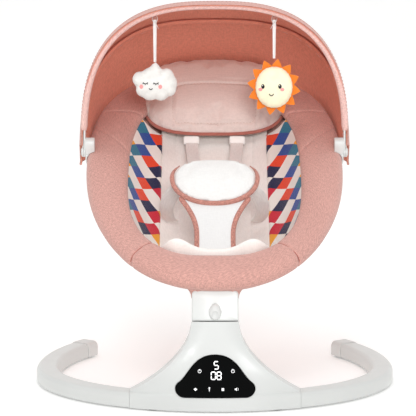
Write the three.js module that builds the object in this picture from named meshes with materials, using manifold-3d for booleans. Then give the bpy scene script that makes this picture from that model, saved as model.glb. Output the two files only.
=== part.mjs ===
// A powered baby swing: a C-shaped floor base with a motor housing, a head block that turns on a
// leaning shaft, and a padded bucket seat with a folding canopy, a harness and two hanging toys.
// Millimetres, +Z up, +Y towards the back of the seat, floor at Z = 0.
import * as THREE from "three";
import { mergeVertices } from "three/addons/utils/BufferGeometryUtils.js";
import Module from "manifold-3d";

const wasm = await Module();
wasm.setup();

// ---------------------------------------------------------------- driving dimensions
const GAP = 0.3; // clearance between pieces that touch
const FOOT_HEIGHT = 2.5;
const ORIGIN_SHIFT_Y = 21.95; // puts the origin under the middle of the whole object

// Floor base: two half ellipses about one centre, seen from above.
const BASE_CENTRE_Y = -124;
const BASE_HALF_WIDTH = 258;
const BASE_FRONT = 199;
const BASE_REAR = 280;
const TUBE_WIDTH = 33;
const TUBE_TOP = 25;
const TUBE_SHOULDER = 18; // height where the tube's top edges start to round
const TUBE_START_DEG = 26; // inside the housing: its end face cuts the tube
const TUBE_END_DEG = 122;
const CAP_END_DEG = 128;

// Motor housing.
const HOUSING_HALF_WIDTH = 124;
const NECK_HALF_WIDTH = 35;
const NECK_HEIGHT = 123;
const HOUSING_FRONT_Y = -340;
const HOUSING_REAR_Y = -228;
const HOUSING_LEAN = 0.415; // how far the front face leans back for each millimetre up
const WALL = 3.5;
const HOUSING_SPLIT_Y = -262;

// Swing axis: leans back, so that the seat hangs towards its lowest point.
const SWING_ORIGIN = new THREE.Vector3(0, -262, 116.5);
const SWING_LEAN_DEG = 15;
const SHAFT_RADIUS = 6;
const GEAR_MODULE = 1.5;
const GEAR_TEETH = 40;
const PINION_TEETH = 12;
const GEAR_LOW = -62;
const GEAR_THICK = 7;
const BACKLASH = 0.35;

// Head block, in the swing frame.
const HEAD_HALF_WIDTH = 34;
const HEAD_HALF_DEPTH = 27;
const HEAD_LOW = 1.3;
const HEAD_HIGH = 46;

// Seat plane: x across, y up along the seat, z square to it.
const SEAT_ORIGIN = new THREE.Vector3(0, -272, 188);
const SEAT_TILT_DEG = 25;
const RING_CENTRE = 320;
const TUBE_R = 10;
const TUBE_LINE = { half: 190, foot: 325, head: 267, footPower: 2.2, headPower: 2.6, centre: RING_CENTRE };
const PAD_RADIUS = 13.5;
const INNER_LINE = { half: 137.5, foot: 256, head: 245, footPower: 2.4, headPower: 2.6, centre: 300 };
const FOOT_SEAM_INNER = [89, 73];
const FOOT_SEAM_OUTER = [150, 5];
const HEAD_SEAM = 455;
const LINER_THICK = 11;
const SLING_THICK = 5;

// Recline axis, in the seat plane.
const RECLINE_PIVOT = new THREE.Vector2(-7, -38.7);

// Canopy: slices that turn about the two side pivots. 0 degrees points forwards, 90 up.
const PIVOT_ALONG = 335; // in the seat plane
const PIVOT_UP = 8;
const CANOPY_EDGE_DEG = 77;
const FRONT_BOW_DEG = 80;
const MID_BOW_DEG = 120;
const RING_DEG = 155;
const FABRIC = 2.5;
const SKIRT = 30;

const COLOURS = {
  white: 0xeaece9,
  softWhite: 0xf6f5f2,
  pink: 0xd9a9a0,
  salmon: 0xbf7059,
  cream: 0xe3d7d0,
  black: 0x060805,
  steel: 0x9a9da0,
  rubber: 0x3a3a3c,
  green: 0x2f6b45,
  sun: 0xfbf5da,
  orange: 0xe8782c,
};

const rad = THREE.MathUtils.degToRad;
const V = (x, y, z) => new THREE.Vector3(x, y, z);

// ---------------------------------------------------------------- geometry helpers

// Makes a geometry from points and triangles, facing out.
function closedGeometry(points, triangles) {
  let volume = 0;
  for (const [a, b, c] of triangles) {
    volume += points[a].dot(points[b].clone().cross(points[c]));
  }
  const positions = [];
  for (const [a, b, c] of triangles) {
    const order = volume > 0 ? [a, b, c] : [a, c, b];
    for (const i of order) positions.push(points[i].x, points[i].y, points[i].z);
  }
  const geometry = new THREE.BufferGeometry();
  return geometry.setAttribute("position", new THREE.Float32BufferAttribute(positions, 3));
}

// A closed skin over rings of equal length. Ends are fans to their centres, unless it loops.
function ringLoft(rings, loops = false) {
  const count = rings[0].length;
  const points = rings.flat();
  const triangles = [];
  const last = loops ? rings.length : rings.length - 1;
  for (let i = 0; i < last; i++) {
    const here = i * count;
    const there = ((i + 1) % rings.length) * count;
    for (let j = 0; j < count; j++) {
      const k = (j + 1) % count;
      triangles.push([here + j, here + k, there + k], [here + j, there + k, there + j]);
    }
  }
  if (!loops) {
    for (const [start, turn] of [[0, true], [(rings.length - 1) * count, false]]) {
      const middle = V(0, 0, 0);
      for (let j = 0; j < count; j++) middle.addScaledVector(points[start + j], 1 / count);
      points.push(middle);
      for (let j = 0; j < count; j++) {
        const a = start + j;
        const b = start + ((j + 1) % count);
        triangles.push(turn ? [points.length - 1, b, a] : [points.length - 1, a, b]);
      }
    }
  }
  return closedGeometry(points, triangles);
}

// A closed slab between two grids of points with the same rows and columns.
function gridSlab(top, bottom) {
  const rows = top.length;
  const columns = top[0].length;
  const points = [...top.flat(), ...bottom.flat()];
  const under = rows * columns;
  const triangles = [];
  const at = (i, j) => i * columns + j;
  const wall = (a, b) => triangles.push([a, b, b + under], [a, b + under, a + under]);
  for (let i = 0; i < rows - 1; i++) {
    for (let j = 0; j < columns - 1; j++) {
      const [a, b, c, d] = [at(i, j), at(i, j + 1), at(i + 1, j + 1), at(i + 1, j)];
      triangles.push([a, c, b], [a, d, c]);
      triangles.push([a + under, b + under, c + under], [a + under, c + under, d + under]);
    }
  }
  for (let j = 0; j < columns - 1; j++) {
    wall(at(0, j), at(0, j + 1));
    wall(at(rows - 1, j + 1), at(rows - 1, j));
  }
  for (let i = 0; i < rows - 1; i++) {
    wall(at(i, columns - 1), at(i + 1, columns - 1));
    wall(at(i + 1, 0), at(i, 0));
  }
  return closedGeometry(points, triangles);
}

function solidOf(geometry) {
  const plain = geometry.clone();
  plain.deleteAttribute("normal");
  plain.deleteAttribute("uv");
  const merged = mergeVertices(plain, 1e-4);
  return new wasm.Manifold(
    new wasm.Mesh({
      numProp: 3,
      vertProperties: merged.attributes.position.array,
      triVerts: new Uint32Array(merged.index.array),
    }),
  );
}

function geometryOf(solid) {
  const mesh = solid.getMesh();
  const geometry = new THREE.BufferGeometry();
  geometry.setAttribute("position", new THREE.Float32BufferAttribute(mesh.vertProperties, 3));
  return geometry.setIndex(new THREE.BufferAttribute(mesh.triVerts, 1));
}

function cut(geometry, ...tools) {
  return geometryOf(tools.reduce((solid, tool) => solid.subtract(solidOf(tool)), solidOf(geometry)));
}

function join(...geometries) {
  return geometryOf(geometries.map(solidOf).reduce((all, one) => all.add(one)));
}

function common(a, b) {
  return geometryOf(solidOf(a).intersect(solidOf(b)));
}

function box(x0, x1, y0, y1, z0, z1) {
  const geometry = new THREE.BoxGeometry(x1 - x0, y1 - y0, z1 - z0);
  return geometry.translate((x0 + x1) / 2, (y0 + y1) / 2, (z0 + z1) / 2);
}

// Cylinders along each axis, from one end to the other.
function cylinderZ(radius, z0, z1, sides = 24) {
  const geometry = new THREE.CylinderGeometry(radius, radius, z1 - z0, sides);
  return geometry.rotateX(Math.PI / 2).translate(0, 0, (z0 + z1) / 2);
}

function cylinderX(radius, x0, x1, sides = 20) {
  const geometry = new THREE.CylinderGeometry(radius, radius, x1 - x0, sides);
  return geometry.rotateZ(Math.PI / 2).translate((x0 + x1) / 2, 0, 0);
}

function cylinderY(radius, y0, y1, sides = 20) {
  const geometry = new THREE.CylinderGeometry(radius, radius, y1 - y0, sides);
  return geometry.translate(0, (y0 + y1) / 2, 0);
}

// A flat outline raised along Z.
function prism(points, z0, z1) {
  const shape = new THREE.Shape(points.map(([x, y]) => new THREE.Vector2(x, y)));
  const geometry = new THREE.ExtrudeGeometry(shape, { depth: z1 - z0, bevelEnabled: false });
  return geometry.translate(0, 0, z0);
}

function roundedShape(halfWidth, low, high, radius) {
  const shape = new THREE.Shape();
  shape.moveTo(-halfWidth, low);
  shape.lineTo(halfWidth, low);
  shape.lineTo(halfWidth, high - radius);
  shape.absarc(halfWidth - radius, high - radius, radius, 0, Math.PI / 2);
  shape.lineTo(-halfWidth + radius, high);
  shape.absarc(-halfWidth + radius, high - radius, radius, Math.PI / 2, Math.PI);
  shape.closePath();
  return shape;
}

// A point of a superellipse that has a different half for its foot and its head.
function ovalPoint(line, turn) {
  const c = Math.cos(turn);
  const s = Math.sin(turn);
  const power = s < 0 ? line.footPower : line.headPower;
  const semi = s < 0 ? line.foot : line.head;
  const x = line.half * Math.sign(c) * Math.abs(c) ** (2 / power);
  const y = line.centre + semi * Math.sign(s) * Math.abs(s) ** (2 / power);
  return new THREE.Vector2(x, y);
}

// The half-width of such an oval at one place along it.
function ovalHalfWidth(line, along) {
  const power = along < line.centre ? line.footPower : line.headPower;
  const semi = along < line.centre ? line.foot : line.head;
  const reach = Math.min(1, Math.abs(along - line.centre) / semi);
  return line.half * (1 - reach ** power) ** (1 / power);
}

// Turns that spread an oval's points more evenly than equal angles do.
function ovalTurns(line, count) {
  const fine = 720;
  const lengths = [0];
  for (let i = 1; i <= fine; i++) {
    const a = ovalPoint(line, ((i - 1) / fine) * 2 * Math.PI - Math.PI);
    const b = ovalPoint(line, (i / fine) * 2 * Math.PI - Math.PI);
    lengths.push(lengths[i - 1] + a.distanceTo(b));
  }
  return Array.from({ length: count }, (_, k) => {
    const i = lengths.findIndex((length) => length >= ((k + 0.5) / count) * lengths[fine]);
    return (i / fine) * 2 * Math.PI - Math.PI;
  });
}

// ---------------------------------------------------------------- scene graph

const swing = new THREE.Group();
const base = new THREE.Group();
const swingFrame = new THREE.Group();
swingFrame.position.copy(SWING_ORIGIN);
swingFrame.rotation.x = -rad(SWING_LEAN_DEG);
const seat = new THREE.Group();
seat.position.copy(SEAT_ORIGIN);
seat.rotation.x = rad(SEAT_TILT_DEG);
const canopy = new THREE.Group();
seat.updateMatrix();
canopy.position.set(0, PIVOT_ALONG, PIVOT_UP).applyMatrix4(seat.matrix);
const upright = new THREE.Group();
swing.add(base, swingFrame, seat, canopy, upright);
swing.position.y = ORIGIN_SHIFT_Y;

function add(group, name, geometry, color, roughness = 0.5, metalness = 0) {
  const mesh = new THREE.Mesh(geometry, new THREE.MeshStandardMaterial({ color, roughness, metalness }));
  mesh.name = name;
  group.add(mesh);
}

const SIDES = [["left", -1], ["right", 1]];

// ---------------------------------------------------------------- floor base

function basePoint(degrees, side) {
  const t = rad(degrees);
  const reach = degrees < 90 ? BASE_FRONT : BASE_REAR;
  return V(side * BASE_HALF_WIDTH * Math.sin(t), BASE_CENTRE_Y - reach * Math.cos(t), 0);
}

// The tube's section: out from the curve, and up.
function tubeSection(halfWidth, low, high) {
  const radius = high - TUBE_SHOULDER;
  const arc = (from) =>
    [0, 1, 2, 3].map((k) => {
      const angle = rad(from + k * 30);
      const sign = from === 0 ? 1 : -1;
      const out = sign * (halfWidth - radius) + radius * Math.cos(angle);
      return [out, high - radius + radius * Math.sin(angle)];
    });
  return [[-halfWidth, low + 2], [-halfWidth + 2, low], [halfWidth - 2, low], [halfWidth, low + 2],
    ...arc(0), ...arc(90)];
}

function sweepBase(side, fromDeg, toDeg, steps, sectionAt) {
  const rings = [];
  for (let i = 0; i <= steps; i++) {
    const degrees = fromDeg + ((toDeg - fromDeg) * i) / steps;
    const here = basePoint(degrees, side);
    const along = basePoint(degrees + 0.05, side).sub(basePoint(degrees - 0.05, side)).normalize();
    const out = V(along.y * side, -along.x * side, 0);
    rings.push(sectionAt(i / steps).map(([o, z]) => here.clone().addScaledVector(out, o).setZ(z)));
  }
  return ringLoft(rings);
}

function makeBaseTubes() {
  const section = tubeSection(TUBE_WIDTH / 2, FOOT_HEIGHT, TUBE_TOP);
  for (const [word, side] of SIDES) {
    const tube = sweepBase(side, TUBE_START_DEG, TUBE_END_DEG, 22, () => section);
    const middle = HOUSING_HALF_WIDTH + GAP;
    const outside = cut(tube, box(-middle, middle, -500, 0, -10, 60));
    add(base, `base_tube_${word}`, outside, COLOURS.white, 0.35);
    const cap = sweepBase(side, TUBE_END_DEG + 0.1, CAP_END_DEG, 5, (u) => {
      const shrink = u > 0.99 ? 3 : 0;
      return tubeSection(TUBE_WIDTH / 2 + 1.5 - shrink, FOOT_HEIGHT, TUBE_TOP + 1.2 - shrink / 2);
    });
    add(base, `end_cap_${word}`, cap, COLOURS.white, 0.45);
  }
}

function makeFeet() {
  const places = [["front", 20, 2.1], ["rear", 125, 2.1]];
  for (const [word, side] of SIDES) {
    for (const [end, degrees] of places) {
      const centre = basePoint(degrees, side);
      const foot = cylinderZ(11, 0, FOOT_HEIGHT - GAP, 20).translate(centre.x, centre.y, 0);
      add(base, `rubber_foot_${end}_${word}`, foot, COLOURS.rubber, 0.9);
    }
  }
}

// ---------------------------------------------------------------- motor housing

function housingHalfWidth(z) {
  const fall = Math.min(1, Math.max(0, (NECK_HEIGHT - z) / (NECK_HEIGHT - TUBE_TOP)));
  return NECK_HALF_WIDTH + (HOUSING_HALF_WIDTH - NECK_HALF_WIDTH) * fall * fall;
}

// How far the base's outer or inner ellipse falls back at x.
function ellipseFall(x, out) {
  const a = BASE_HALF_WIDTH + out;
  const b = BASE_FRONT + out;
  return b * (1 - Math.sqrt(1 - (x / a) ** 2));
}

function housingFront(x, z, u) {
  const edge = Math.abs(u) ** 3;
  const rounding = TUBE_TOP - TUBE_SHOULDER;
  const over = Math.min(rounding, Math.max(0, z - TUBE_SHOULDER));
  const ridge = rounding - Math.sqrt(rounding ** 2 - over ** 2) + Math.max(0, z - TUBE_TOP) * 0.36;
  const lean = Math.max(0, z * HOUSING_LEAN - 1);
  return HOUSING_FRONT_Y + 0.5 + ellipseFall(x, TUBE_WIDTH / 2) + lean * (1 - edge) + ridge * edge;
}

function housingOutline(z, grow) {
  const w = housingHalfWidth(z);
  const up = Math.min(1, Math.max(0, (z - TUBE_TOP) / (NECK_HEIGHT - TUBE_TOP)));
  const over = Math.min(TUBE_TOP - TUBE_SHOULDER, Math.max(0, z - TUBE_SHOULDER));
  const thin = z > TUBE_TOP ? 10 * (1 - up) : (over * 10) / (TUBE_TOP - TUBE_SHOULDER);
  const endDepth = TUBE_WIDTH - thin + 8 * up;
  const rear = HOUSING_REAR_Y - 5 * up;
  const samples = Array.from({ length: 13 }, (_, i) => -Math.cos((Math.PI * i) / 12));
  const front = samples.map((u) => V(u * (w + grow), housingFront(u * w, z, u) - grow, z));
  const back = samples.toReversed().map((u) => {
    const end = housingFront(u * w, z, 1) + endDepth;
    const bulge = (1 - Math.abs(u) ** (2 + 3 * up)) ** (1.5 - up);
    return V(u * (w + grow), end + (rear - end) * bulge + grow, z);
  });
  return [...front, ...back];
}

function housingForm(grow, levels) {
  return ringLoft(levels.map((z) => housingOutline(z, grow)));
}

const OUTER_LEVELS = [FOOT_HEIGHT, 18, 22, 25, 31, 40, 52, 68, 88, 110, 135];

// Everything above the plane between the neck and the head.
function aboveNeck(clear) {
  const block = box(-200, 200, -200, 200, -clear, 200);
  return block.rotateX(-rad(SWING_LEAN_DEG)).translate(SWING_ORIGIN.x, SWING_ORIGIN.y, SWING_ORIGIN.z);
}

function inSwingFrame(geometry) {
  return geometry.rotateX(-rad(SWING_LEAN_DEG)).translate(SWING_ORIGIN.x, SWING_ORIGIN.y, SWING_ORIGIN.z);
}

// The panel's bell outline, as seen from the front, grown by a margin.
function bellPrism(grow) {
  const shape = new THREE.Shape();
  const [half, low, shoulder, high] = [60 + grow, 21 - grow, 41 + grow, 79 + grow];
  shape.moveTo(16 - half, low);
  shape.lineTo(half - 16, low);
  shape.bezierCurveTo(half - 4, low, half + 3, shoulder - 7, half - 7, shoulder);
  shape.bezierCurveTo(half - 22, shoulder + 10, 33, high, 0, high);
  shape.bezierCurveTo(-33, high, 22 - half, shoulder + 10, 7 - half, shoulder);
  shape.bezierCurveTo(-half - 3, shoulder - 7, 4 - half, low, 16 - half, low);
  const geometry = new THREE.ExtrudeGeometry(shape, { depth: 60, bevelEnabled: false, curveSegments: 6 });
  return geometry.rotateX(Math.PI / 2).translate(0, HOUSING_FRONT_Y + 50, 0);
}

function makeHousing() {
  const outer = housingForm(0, OUTER_LEVELS);
  const cavity = housingForm(-WALL, [-5, 2, 18, 25, 31, 40, 52, 68, 88, 97]);
  const bearingSeat = inSwingFrame(cylinderZ(14.3, -40, -3, 28));
  const shaftHole = inSwingFrame(cylinderZ(SHAFT_RADIUS + 1, -20, 20));
  const panelLow = cut(bellPrism(0.5), housingForm(-2.3, OUTER_LEVELS));
  const inlet = cylinderY(5.9, -264, -200, 16).translate(-52, 0, 14);
  const shell = cut(outer, cavity, bearingSeat, shaftHole, aboveNeck(0), panelLow, inlet);
  const frontHalf = box(-200, 200, -400, HOUSING_SPLIT_Y - GAP / 2, -10, 200);
  const rearHalf = box(-200, 200, HOUSING_SPLIT_Y + GAP / 2, -100, -10, 200);
  add(base, "base_front_housing", common(shell, frontHalf), COLOURS.white, 0.35);
  add(base, "base_rear_housing", common(shell, rearHalf), COLOURS.white, 0.4);
  const plateForm = housingForm(-WALL - 2 * GAP, [FOOT_HEIGHT + 0.5, 6]);
  const plate = common(plateForm, box(-118, 118, -400, 0, 0, 20));
  add(base, "base_bottom_plate", plate, COLOURS.white, 0.6);
  const panelSkin = cut(housingForm(1.2, OUTER_LEVELS), housingForm(-1.8, OUTER_LEVELS));
  add(base, "control_panel", common(bellPrism(0), panelSkin), COLOURS.black, 0.08);
}

// ---------------------------------------------------------------- drive

// A spur gear's outline by the involute of its base circle.
function gearOutline(teeth, backlash) {
  const pressure = rad(25);
  const pitch = (GEAR_MODULE * teeth) / 2;
  const baseRadius = pitch * Math.cos(pressure);
  const tip = pitch + 0.8 * GEAR_MODULE;
  const root = pitch - 1.15 * GEAR_MODULE;
  const involute = (radius) => {
    const angle = Math.acos(Math.min(1, baseRadius / radius));
    return Math.tan(angle) - angle;
  };
  const halfTooth = Math.PI / (2 * teeth) - backlash / (2 * pitch);
  const radii = [Math.max(baseRadius, root), pitch, (pitch + tip) / 2, tip];
  const outline = [];
  for (let k = 0; k < teeth; k++) {
    const middle = (2 * Math.PI * k) / teeth;
    const half = (radius) => halfTooth + involute(pitch) - involute(radius);
    const point = (radius, angle) => [radius * Math.cos(angle), radius * Math.sin(angle)];
    outline.push(point(root, middle - half(radii[0]) - 0.01));
    for (const r of radii) outline.push(point(r, middle - half(r)));
    for (const r of radii.toReversed()) outline.push(point(r, middle + half(r)));
    outline.push(point(root, middle + half(radii[0]) + 0.01));
  }
  return outline;
}

function makeDrive() {
  const centreDistance = (GEAR_MODULE * (GEAR_TEETH + PINION_TEETH)) / 2;
  const high = GEAR_LOW + GEAR_THICK;
  const fullGear = prism(gearOutline(GEAR_TEETH, BACKLASH), GEAR_LOW, high);
  // The gear has a tooth at 0 degrees, so the pinion turns half a tooth to mesh with it.
  const wedgeOutline = [[-16, -16], [0, -16], [60, -52], [60, 52], [0, 16], [-16, 16]];
  const wedge = prism(wedgeOutline, GEAR_LOW - 1, high + 1);
  const bore = cylinderZ(SHAFT_RADIUS + GAP, GEAR_LOW - 2, high + 2);
  add(swingFrame, "sector_gear", cut(common(fullGear, wedge), bore), COLOURS.softWhite, 0.6);

  const halfTooth = Math.PI / PINION_TEETH;
  const pinion = prism(gearOutline(PINION_TEETH, BACKLASH), GEAR_LOW - 1, high + 1);
  pinion.rotateZ(Math.PI + halfTooth);
  const motorHole = cylinderZ(2.3, GEAR_LOW - 3, high + 3, 12);
  const pinionSolid = cut(pinion, motorHole).translate(centreDistance, 0, 0);
  add(swingFrame, "motor_pinion", pinionSolid, COLOURS.steel, 0.4, 0.9);

  const motorTop = GEAR_LOW - 6.5;
  const can = cylinderZ(15, motorTop - 31, motorTop, 24);
  const boss = cylinderZ(2, motorTop - 1, high, 12);
  const motor = join(can, boss).translate(centreDistance, 0, 0);
  add(swingFrame, "drive_motor", motor, COLOURS.steel, 0.4, 0.8);

  const plate = box(-21, 54, -22, 19, motorTop + GAP, motorTop + 3.3);
  const bearingHole = cylinderZ(10.3, motorTop - 2, motorTop + 6, 28);
  const pinionHole = cylinderZ(5, motorTop - 2, motorTop + 6, 20).translate(centreDistance, 0, 0);
  add(swingFrame, "drive_bracket", cut(plate, bearingHole, pinionHole), COLOURS.steel, 0.5, 0.8);

  const ring = (outer, z0, z1) => {
    const bore = cylinderZ(SHAFT_RADIUS + 0.4, z0 - 1, z1 + 1);
    return cut(cylinderZ(outer, z0, z1, 28), bore);
  };
  add(swingFrame, "upper_bearing", ring(14, -13, -3.4), COLOURS.steel, 0.3, 0.9);
  add(swingFrame, "lower_bearing", ring(10, motorTop - 1, motorTop + 5.5), COLOURS.steel, 0.3, 0.9);

  const shaft = join(cylinderZ(SHAFT_RADIUS, motorTop - 3, 16), cylinderZ(12, 8, 12));
  add(swingFrame, "swing_shaft", shaft, COLOURS.steel, 0.3, 0.95);
}

function makeElectrics() {
  const board = new THREE.BoxGeometry(70, 1.6, 36);
  board.rotateX(-Math.atan(HOUSING_LEAN)).translate(0, HOUSING_FRONT_Y + 25.4, 46);
  add(base, "control_board", board, COLOURS.green, 0.6);
  const speaker = join(cylinderZ(20, 8, 14), cylinderZ(12, 13, 24)).translate(-48, -286, 0);
  add(base, "speaker", speaker, COLOURS.rubber, 0.6);
  const socket = cut(cylinderY(5.5, -261, -246.5, 16), cylinderY(3, -257, -240, 12));
  add(base, "power_inlet", socket.translate(-52, 0, 14), COLOURS.rubber, 0.5);
}

// ---------------------------------------------------------------- head block

function headForm() {
  const bevel = 2;
  const shape = roundedShape(HEAD_HALF_WIDTH - bevel, HEAD_LOW + bevel, HEAD_HIGH - bevel, 6);
  const depth = 2 * (HEAD_HALF_DEPTH - bevel);
  const options = { depth, bevelThickness: bevel, bevelSize: bevel, bevelSegments: 2, curveSegments: 5 };
  return new THREE.ExtrudeGeometry(shape, options).rotateX(Math.PI / 2).translate(0, depth / 2, 0);
}

// The recline pivot in the swing frame.
function reclinePivotInHead() {
  seat.updateMatrixWorld(true);
  swingFrame.updateMatrixWorld(true);
  const point = V(0, RECLINE_PIVOT.x, RECLINE_PIVOT.y).applyMatrix4(seat.matrix);
  return point.applyMatrix4(swingFrame.matrix.clone().invert());
}

function makeHead() {
  const pivot = reclinePivotInHead();
  const form = headForm();
  const shaftHole = cylinderZ(SHAFT_RADIUS + GAP, -5, 18);
  const flangePocket = cylinderZ(12.4, 7.6, 12.4);
  const slot = box(-21.5, 21.5, -23.5, 8, 17, 60);
  const pinHole = cylinderX(4.3, -30.5, 30.5).translate(0, pivot.y, pivot.z);
  const latchSlot = box(-5.5, 5.5, -40, -20, 4, 28);
  const latchPocket = box(-10, 10, -22.5, -17.5, 2.8, 32);
  const body = cut(form, shaftHole, flangePocket, slot, pinHole, latchSlot, latchPocket);
  const front = box(-60, 60, -60, -GAP / 2, -10, 80);
  const rear = box(-60, 60, GAP / 2, 60, -10, 80);
  add(swingFrame, "head_front_cover", common(body, front), COLOURS.white, 0.35);
  add(swingFrame, "head_rear_cover", common(body, rear), COLOURS.white, 0.4);
  const pin = cylinderX(4, -30, 30).translate(0, pivot.y, pivot.z);
  add(swingFrame, "recline_pin", pin, COLOURS.steel, 0.3, 0.9);
}

function makeLatch() {
  const face = -HEAD_HALF_DEPTH - 0.4;
  const egg = new THREE.SphereGeometry(1, 16, 10);
  egg.scale(9, 6.5, 12.2).translate(0, face, 14.5);
  const outside = common(egg, box(-20, 20, -60, face, -10, 60));
  const thumbScoop = new THREE.SphereGeometry(7, 12, 8).translate(0, face - 9.5, 6.5);
  const stem = box(-4.5, 4.5, face - 0.5, -20.5, 6, 17);
  const pawl = box(-8, 8, -21.8, -19, 4.5, 20);
  add(swingFrame, "recline_latch", join(cut(outside, thumbScoop), stem, pawl), COLOURS.white, 0.35);
}

// ---------------------------------------------------------------- seat frame

const RING_TURNS = ovalTurns(TUBE_LINE, 38);

// A closed tube along the ring's centre line.
function ringTube(radius, sides) {
  const rings = RING_TURNS.map((turn) => {
    const here = ovalPoint(TUBE_LINE, turn);
    const next = ovalPoint(TUBE_LINE, turn + 0.004);
    const before = ovalPoint(TUBE_LINE, turn - 0.004);
    const along = next.sub(before).normalize();
    return Array.from({ length: sides }, (_, k) => {
      const angle = (2 * Math.PI * (k + 0.5)) / sides;
      const out = radius * Math.cos(angle);
      return V(here.x + along.y * out, here.y - along.x * out, radius * Math.sin(angle));
    });
  });
  return ringLoft(rings, true);
}

// The whole padded rim, from the bucket's edge out round the tube.
function rimForm() {
  const rings = RING_TURNS.map((turn) => {
    const outer = ovalPoint(TUBE_LINE, turn);
    const next = ovalPoint(TUBE_LINE, turn + 0.004);
    const before = ovalPoint(TUBE_LINE, turn - 0.004);
    const along = next.sub(before).normalize();
    const out = new THREE.Vector2(along.y, -along.x);
    const inner = innerPointAlong(outer, out);
    const round = [-90, -50, -15, 20, 55, 90].map((degrees) => {
      const angle = rad(degrees);
      const reach = PAD_RADIUS * Math.cos(angle);
      return V(outer.x + out.x * reach, outer.y + out.y * reach, PAD_RADIUS * Math.sin(angle));
    });
    const between = (u, z) => V(inner.x + (outer.x - inner.x) * u, inner.y + (outer.y - inner.y) * u, z);
    const inwards = [[0.6, 15], [0.25, 13], [0, 6], [0, -6], [0.3, -11]];
    return [...round, ...inwards.map(([u, z]) => between(u, z))];
  });
  return ringLoft(rings, true);
}

// Where a line from the tube straight inwards meets the bucket's edge.
function innerPointAlong(outer, out) {
  let reach = 0;
  const low = INNER_LINE.centre - INNER_LINE.foot;
  const high = INNER_LINE.centre + INNER_LINE.head;
  const inside = (p) => p.y > low && p.y < high && Math.abs(p.x) < ovalHalfWidth(INNER_LINE, p.y);
  const at = (r) => new THREE.Vector2(outer.x - out.x * r, outer.y - out.y * r);
  while (reach < 120 && !inside(at(reach))) reach += 0.5;
  return at(reach);
}

function bracketSaddle(grow) {
  return box(-30 - grow, 30 + grow, -8 - grow, 30 + grow, -16 - grow, -2 + grow);
}

function makeRim() {
  add(seat, "seat_ring", ringTube(TUBE_R, 8), COLOURS.steel, 0.4, 0.8);
  const sleeve = cut(rimForm(), ringTube(TUBE_R + 0.5, 8), bracketSaddle(0.4));
  const [ix, iy] = FOOT_SEAM_INNER;
  const [ox, oy] = FOOT_SEAM_OUTER;
  const beyond = oy - 120;
  const footOutline = [[-ix, iy], [-ox, oy], [-ox, beyond], [ox, beyond], [ox, oy], [ix, iy]];
  const foot = prism(footOutline, -60, 60);
  const head = prism([[-300, HEAD_SEAM], [300, HEAD_SEAM], [300, 900], [-300, 900]], -60, 60);
  add(seat, "rim_pad_foot", common(sleeve, foot.clone().translate(0, -0.3, 0)), COLOURS.pink, 0.95);
  add(seat, "rim_pad_head", common(sleeve, head.clone().translate(0, 0.3, 0)), COLOURS.pink, 0.95);
  const sides = cut(sleeve, foot, head);
  add(seat, "rim_pad_left", common(sides, box(-300, 0, -100, 900, -60, 60)), COLOURS.pink, 0.95);
  add(seat, "rim_pad_right", common(sides, box(0, 300, -100, 900, -60, 60)), COLOURS.pink, 0.95);
}

function makeSeatBracket() {
  const pivot = RECLINE_PIVOT;
  const tilt = -rad(SEAT_TILT_DEG);
  const barrel = cylinderX(11, -20, 20, 24);
  const neck = box(-20, 20, -10, 10, 0, 24);
  const hole = cylinderX(4.3, -30, 30, 20);
  const stem = join(barrel, neck).rotateX(tilt).translate(0, pivot.x, pivot.y);
  const saddle = cut(bracketSaddle(0), ringTube(TUBE_R + 0.4, 8));
  const bracket = join(stem, saddle);
  add(seat, "seat_bracket", cut(bracket, hole.translate(0, pivot.x, pivot.y)), COLOURS.white, 0.5);
}

// ---------------------------------------------------------------- bucket

// The bucket's depth below the seat plane along its middle, from the lip to the head.
const DEPTH_PROFILE = new THREE.SplineCurve(
  [[44, 3], [62, 3], [82, -22], [108, -66], [135, -92], [166, -101], [205, -95], [300, -74],
    [400, -53], [500, -31], [545, -14]].map(([s, h]) => new THREE.Vector2(s, h)),
).getPoints(120);

function depthAt(along) {
  const i = DEPTH_PROFILE.findIndex((point) => point.x >= along);
  if (i <= 0) return i === 0 ? DEPTH_PROFILE[0].y : DEPTH_PROFILE.at(-1).y;
  const a = DEPTH_PROFILE[i - 1];
  const b = DEPTH_PROFILE[i];
  return a.y + ((b.y - a.y) * (along - a.x)) / (b.x - a.x);
}

// The seating surface: deep in the middle, rising to the rim at its sides.
function bucketPoint(x, along) {
  const across = Math.min(1, Math.abs(x) / ovalHalfWidth(INNER_LINE, along));
  return V(x, along, depthAt(along) * (1 - across ** 4.5));
}

function bucketGrid(rows, columns, from, to, edges, lower) {
  return Array.from({ length: rows }, (_, i) => {
    const u = i / (rows - 1);
    const along = from + (to - from) * (1 - Math.cos(Math.PI * u)) * 0.5;
    const [a, b] = edges(along);
    return Array.from({ length: columns }, (_, j) => {
      const v = (1 - Math.cos((Math.PI * j) / (columns - 1))) * 0.5;
      const point = bucketPoint(a + (b - a) * v, along);
      return point.setZ(point.z - lower);
    });
  });
}

// Half the liner's width: the side wings take the rest of the bucket.
function linerHalfWidth(along) {
  const wide = ovalHalfWidth(INNER_LINE, along);
  return Math.min(wide - 6, 88);
}

function linerSlab() {
  const top = bucketGrid(20, 9, 52, 530, (s) => [-linerHalfWidth(s), linerHalfWidth(s)], 0);
  return gridSlab(top, lowered(top, LINER_THICK));
}

function lowered(grid, depth) {
  return grid.map((row) => row.map((point) => point.clone().setZ(point.z - depth)));
}

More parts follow.
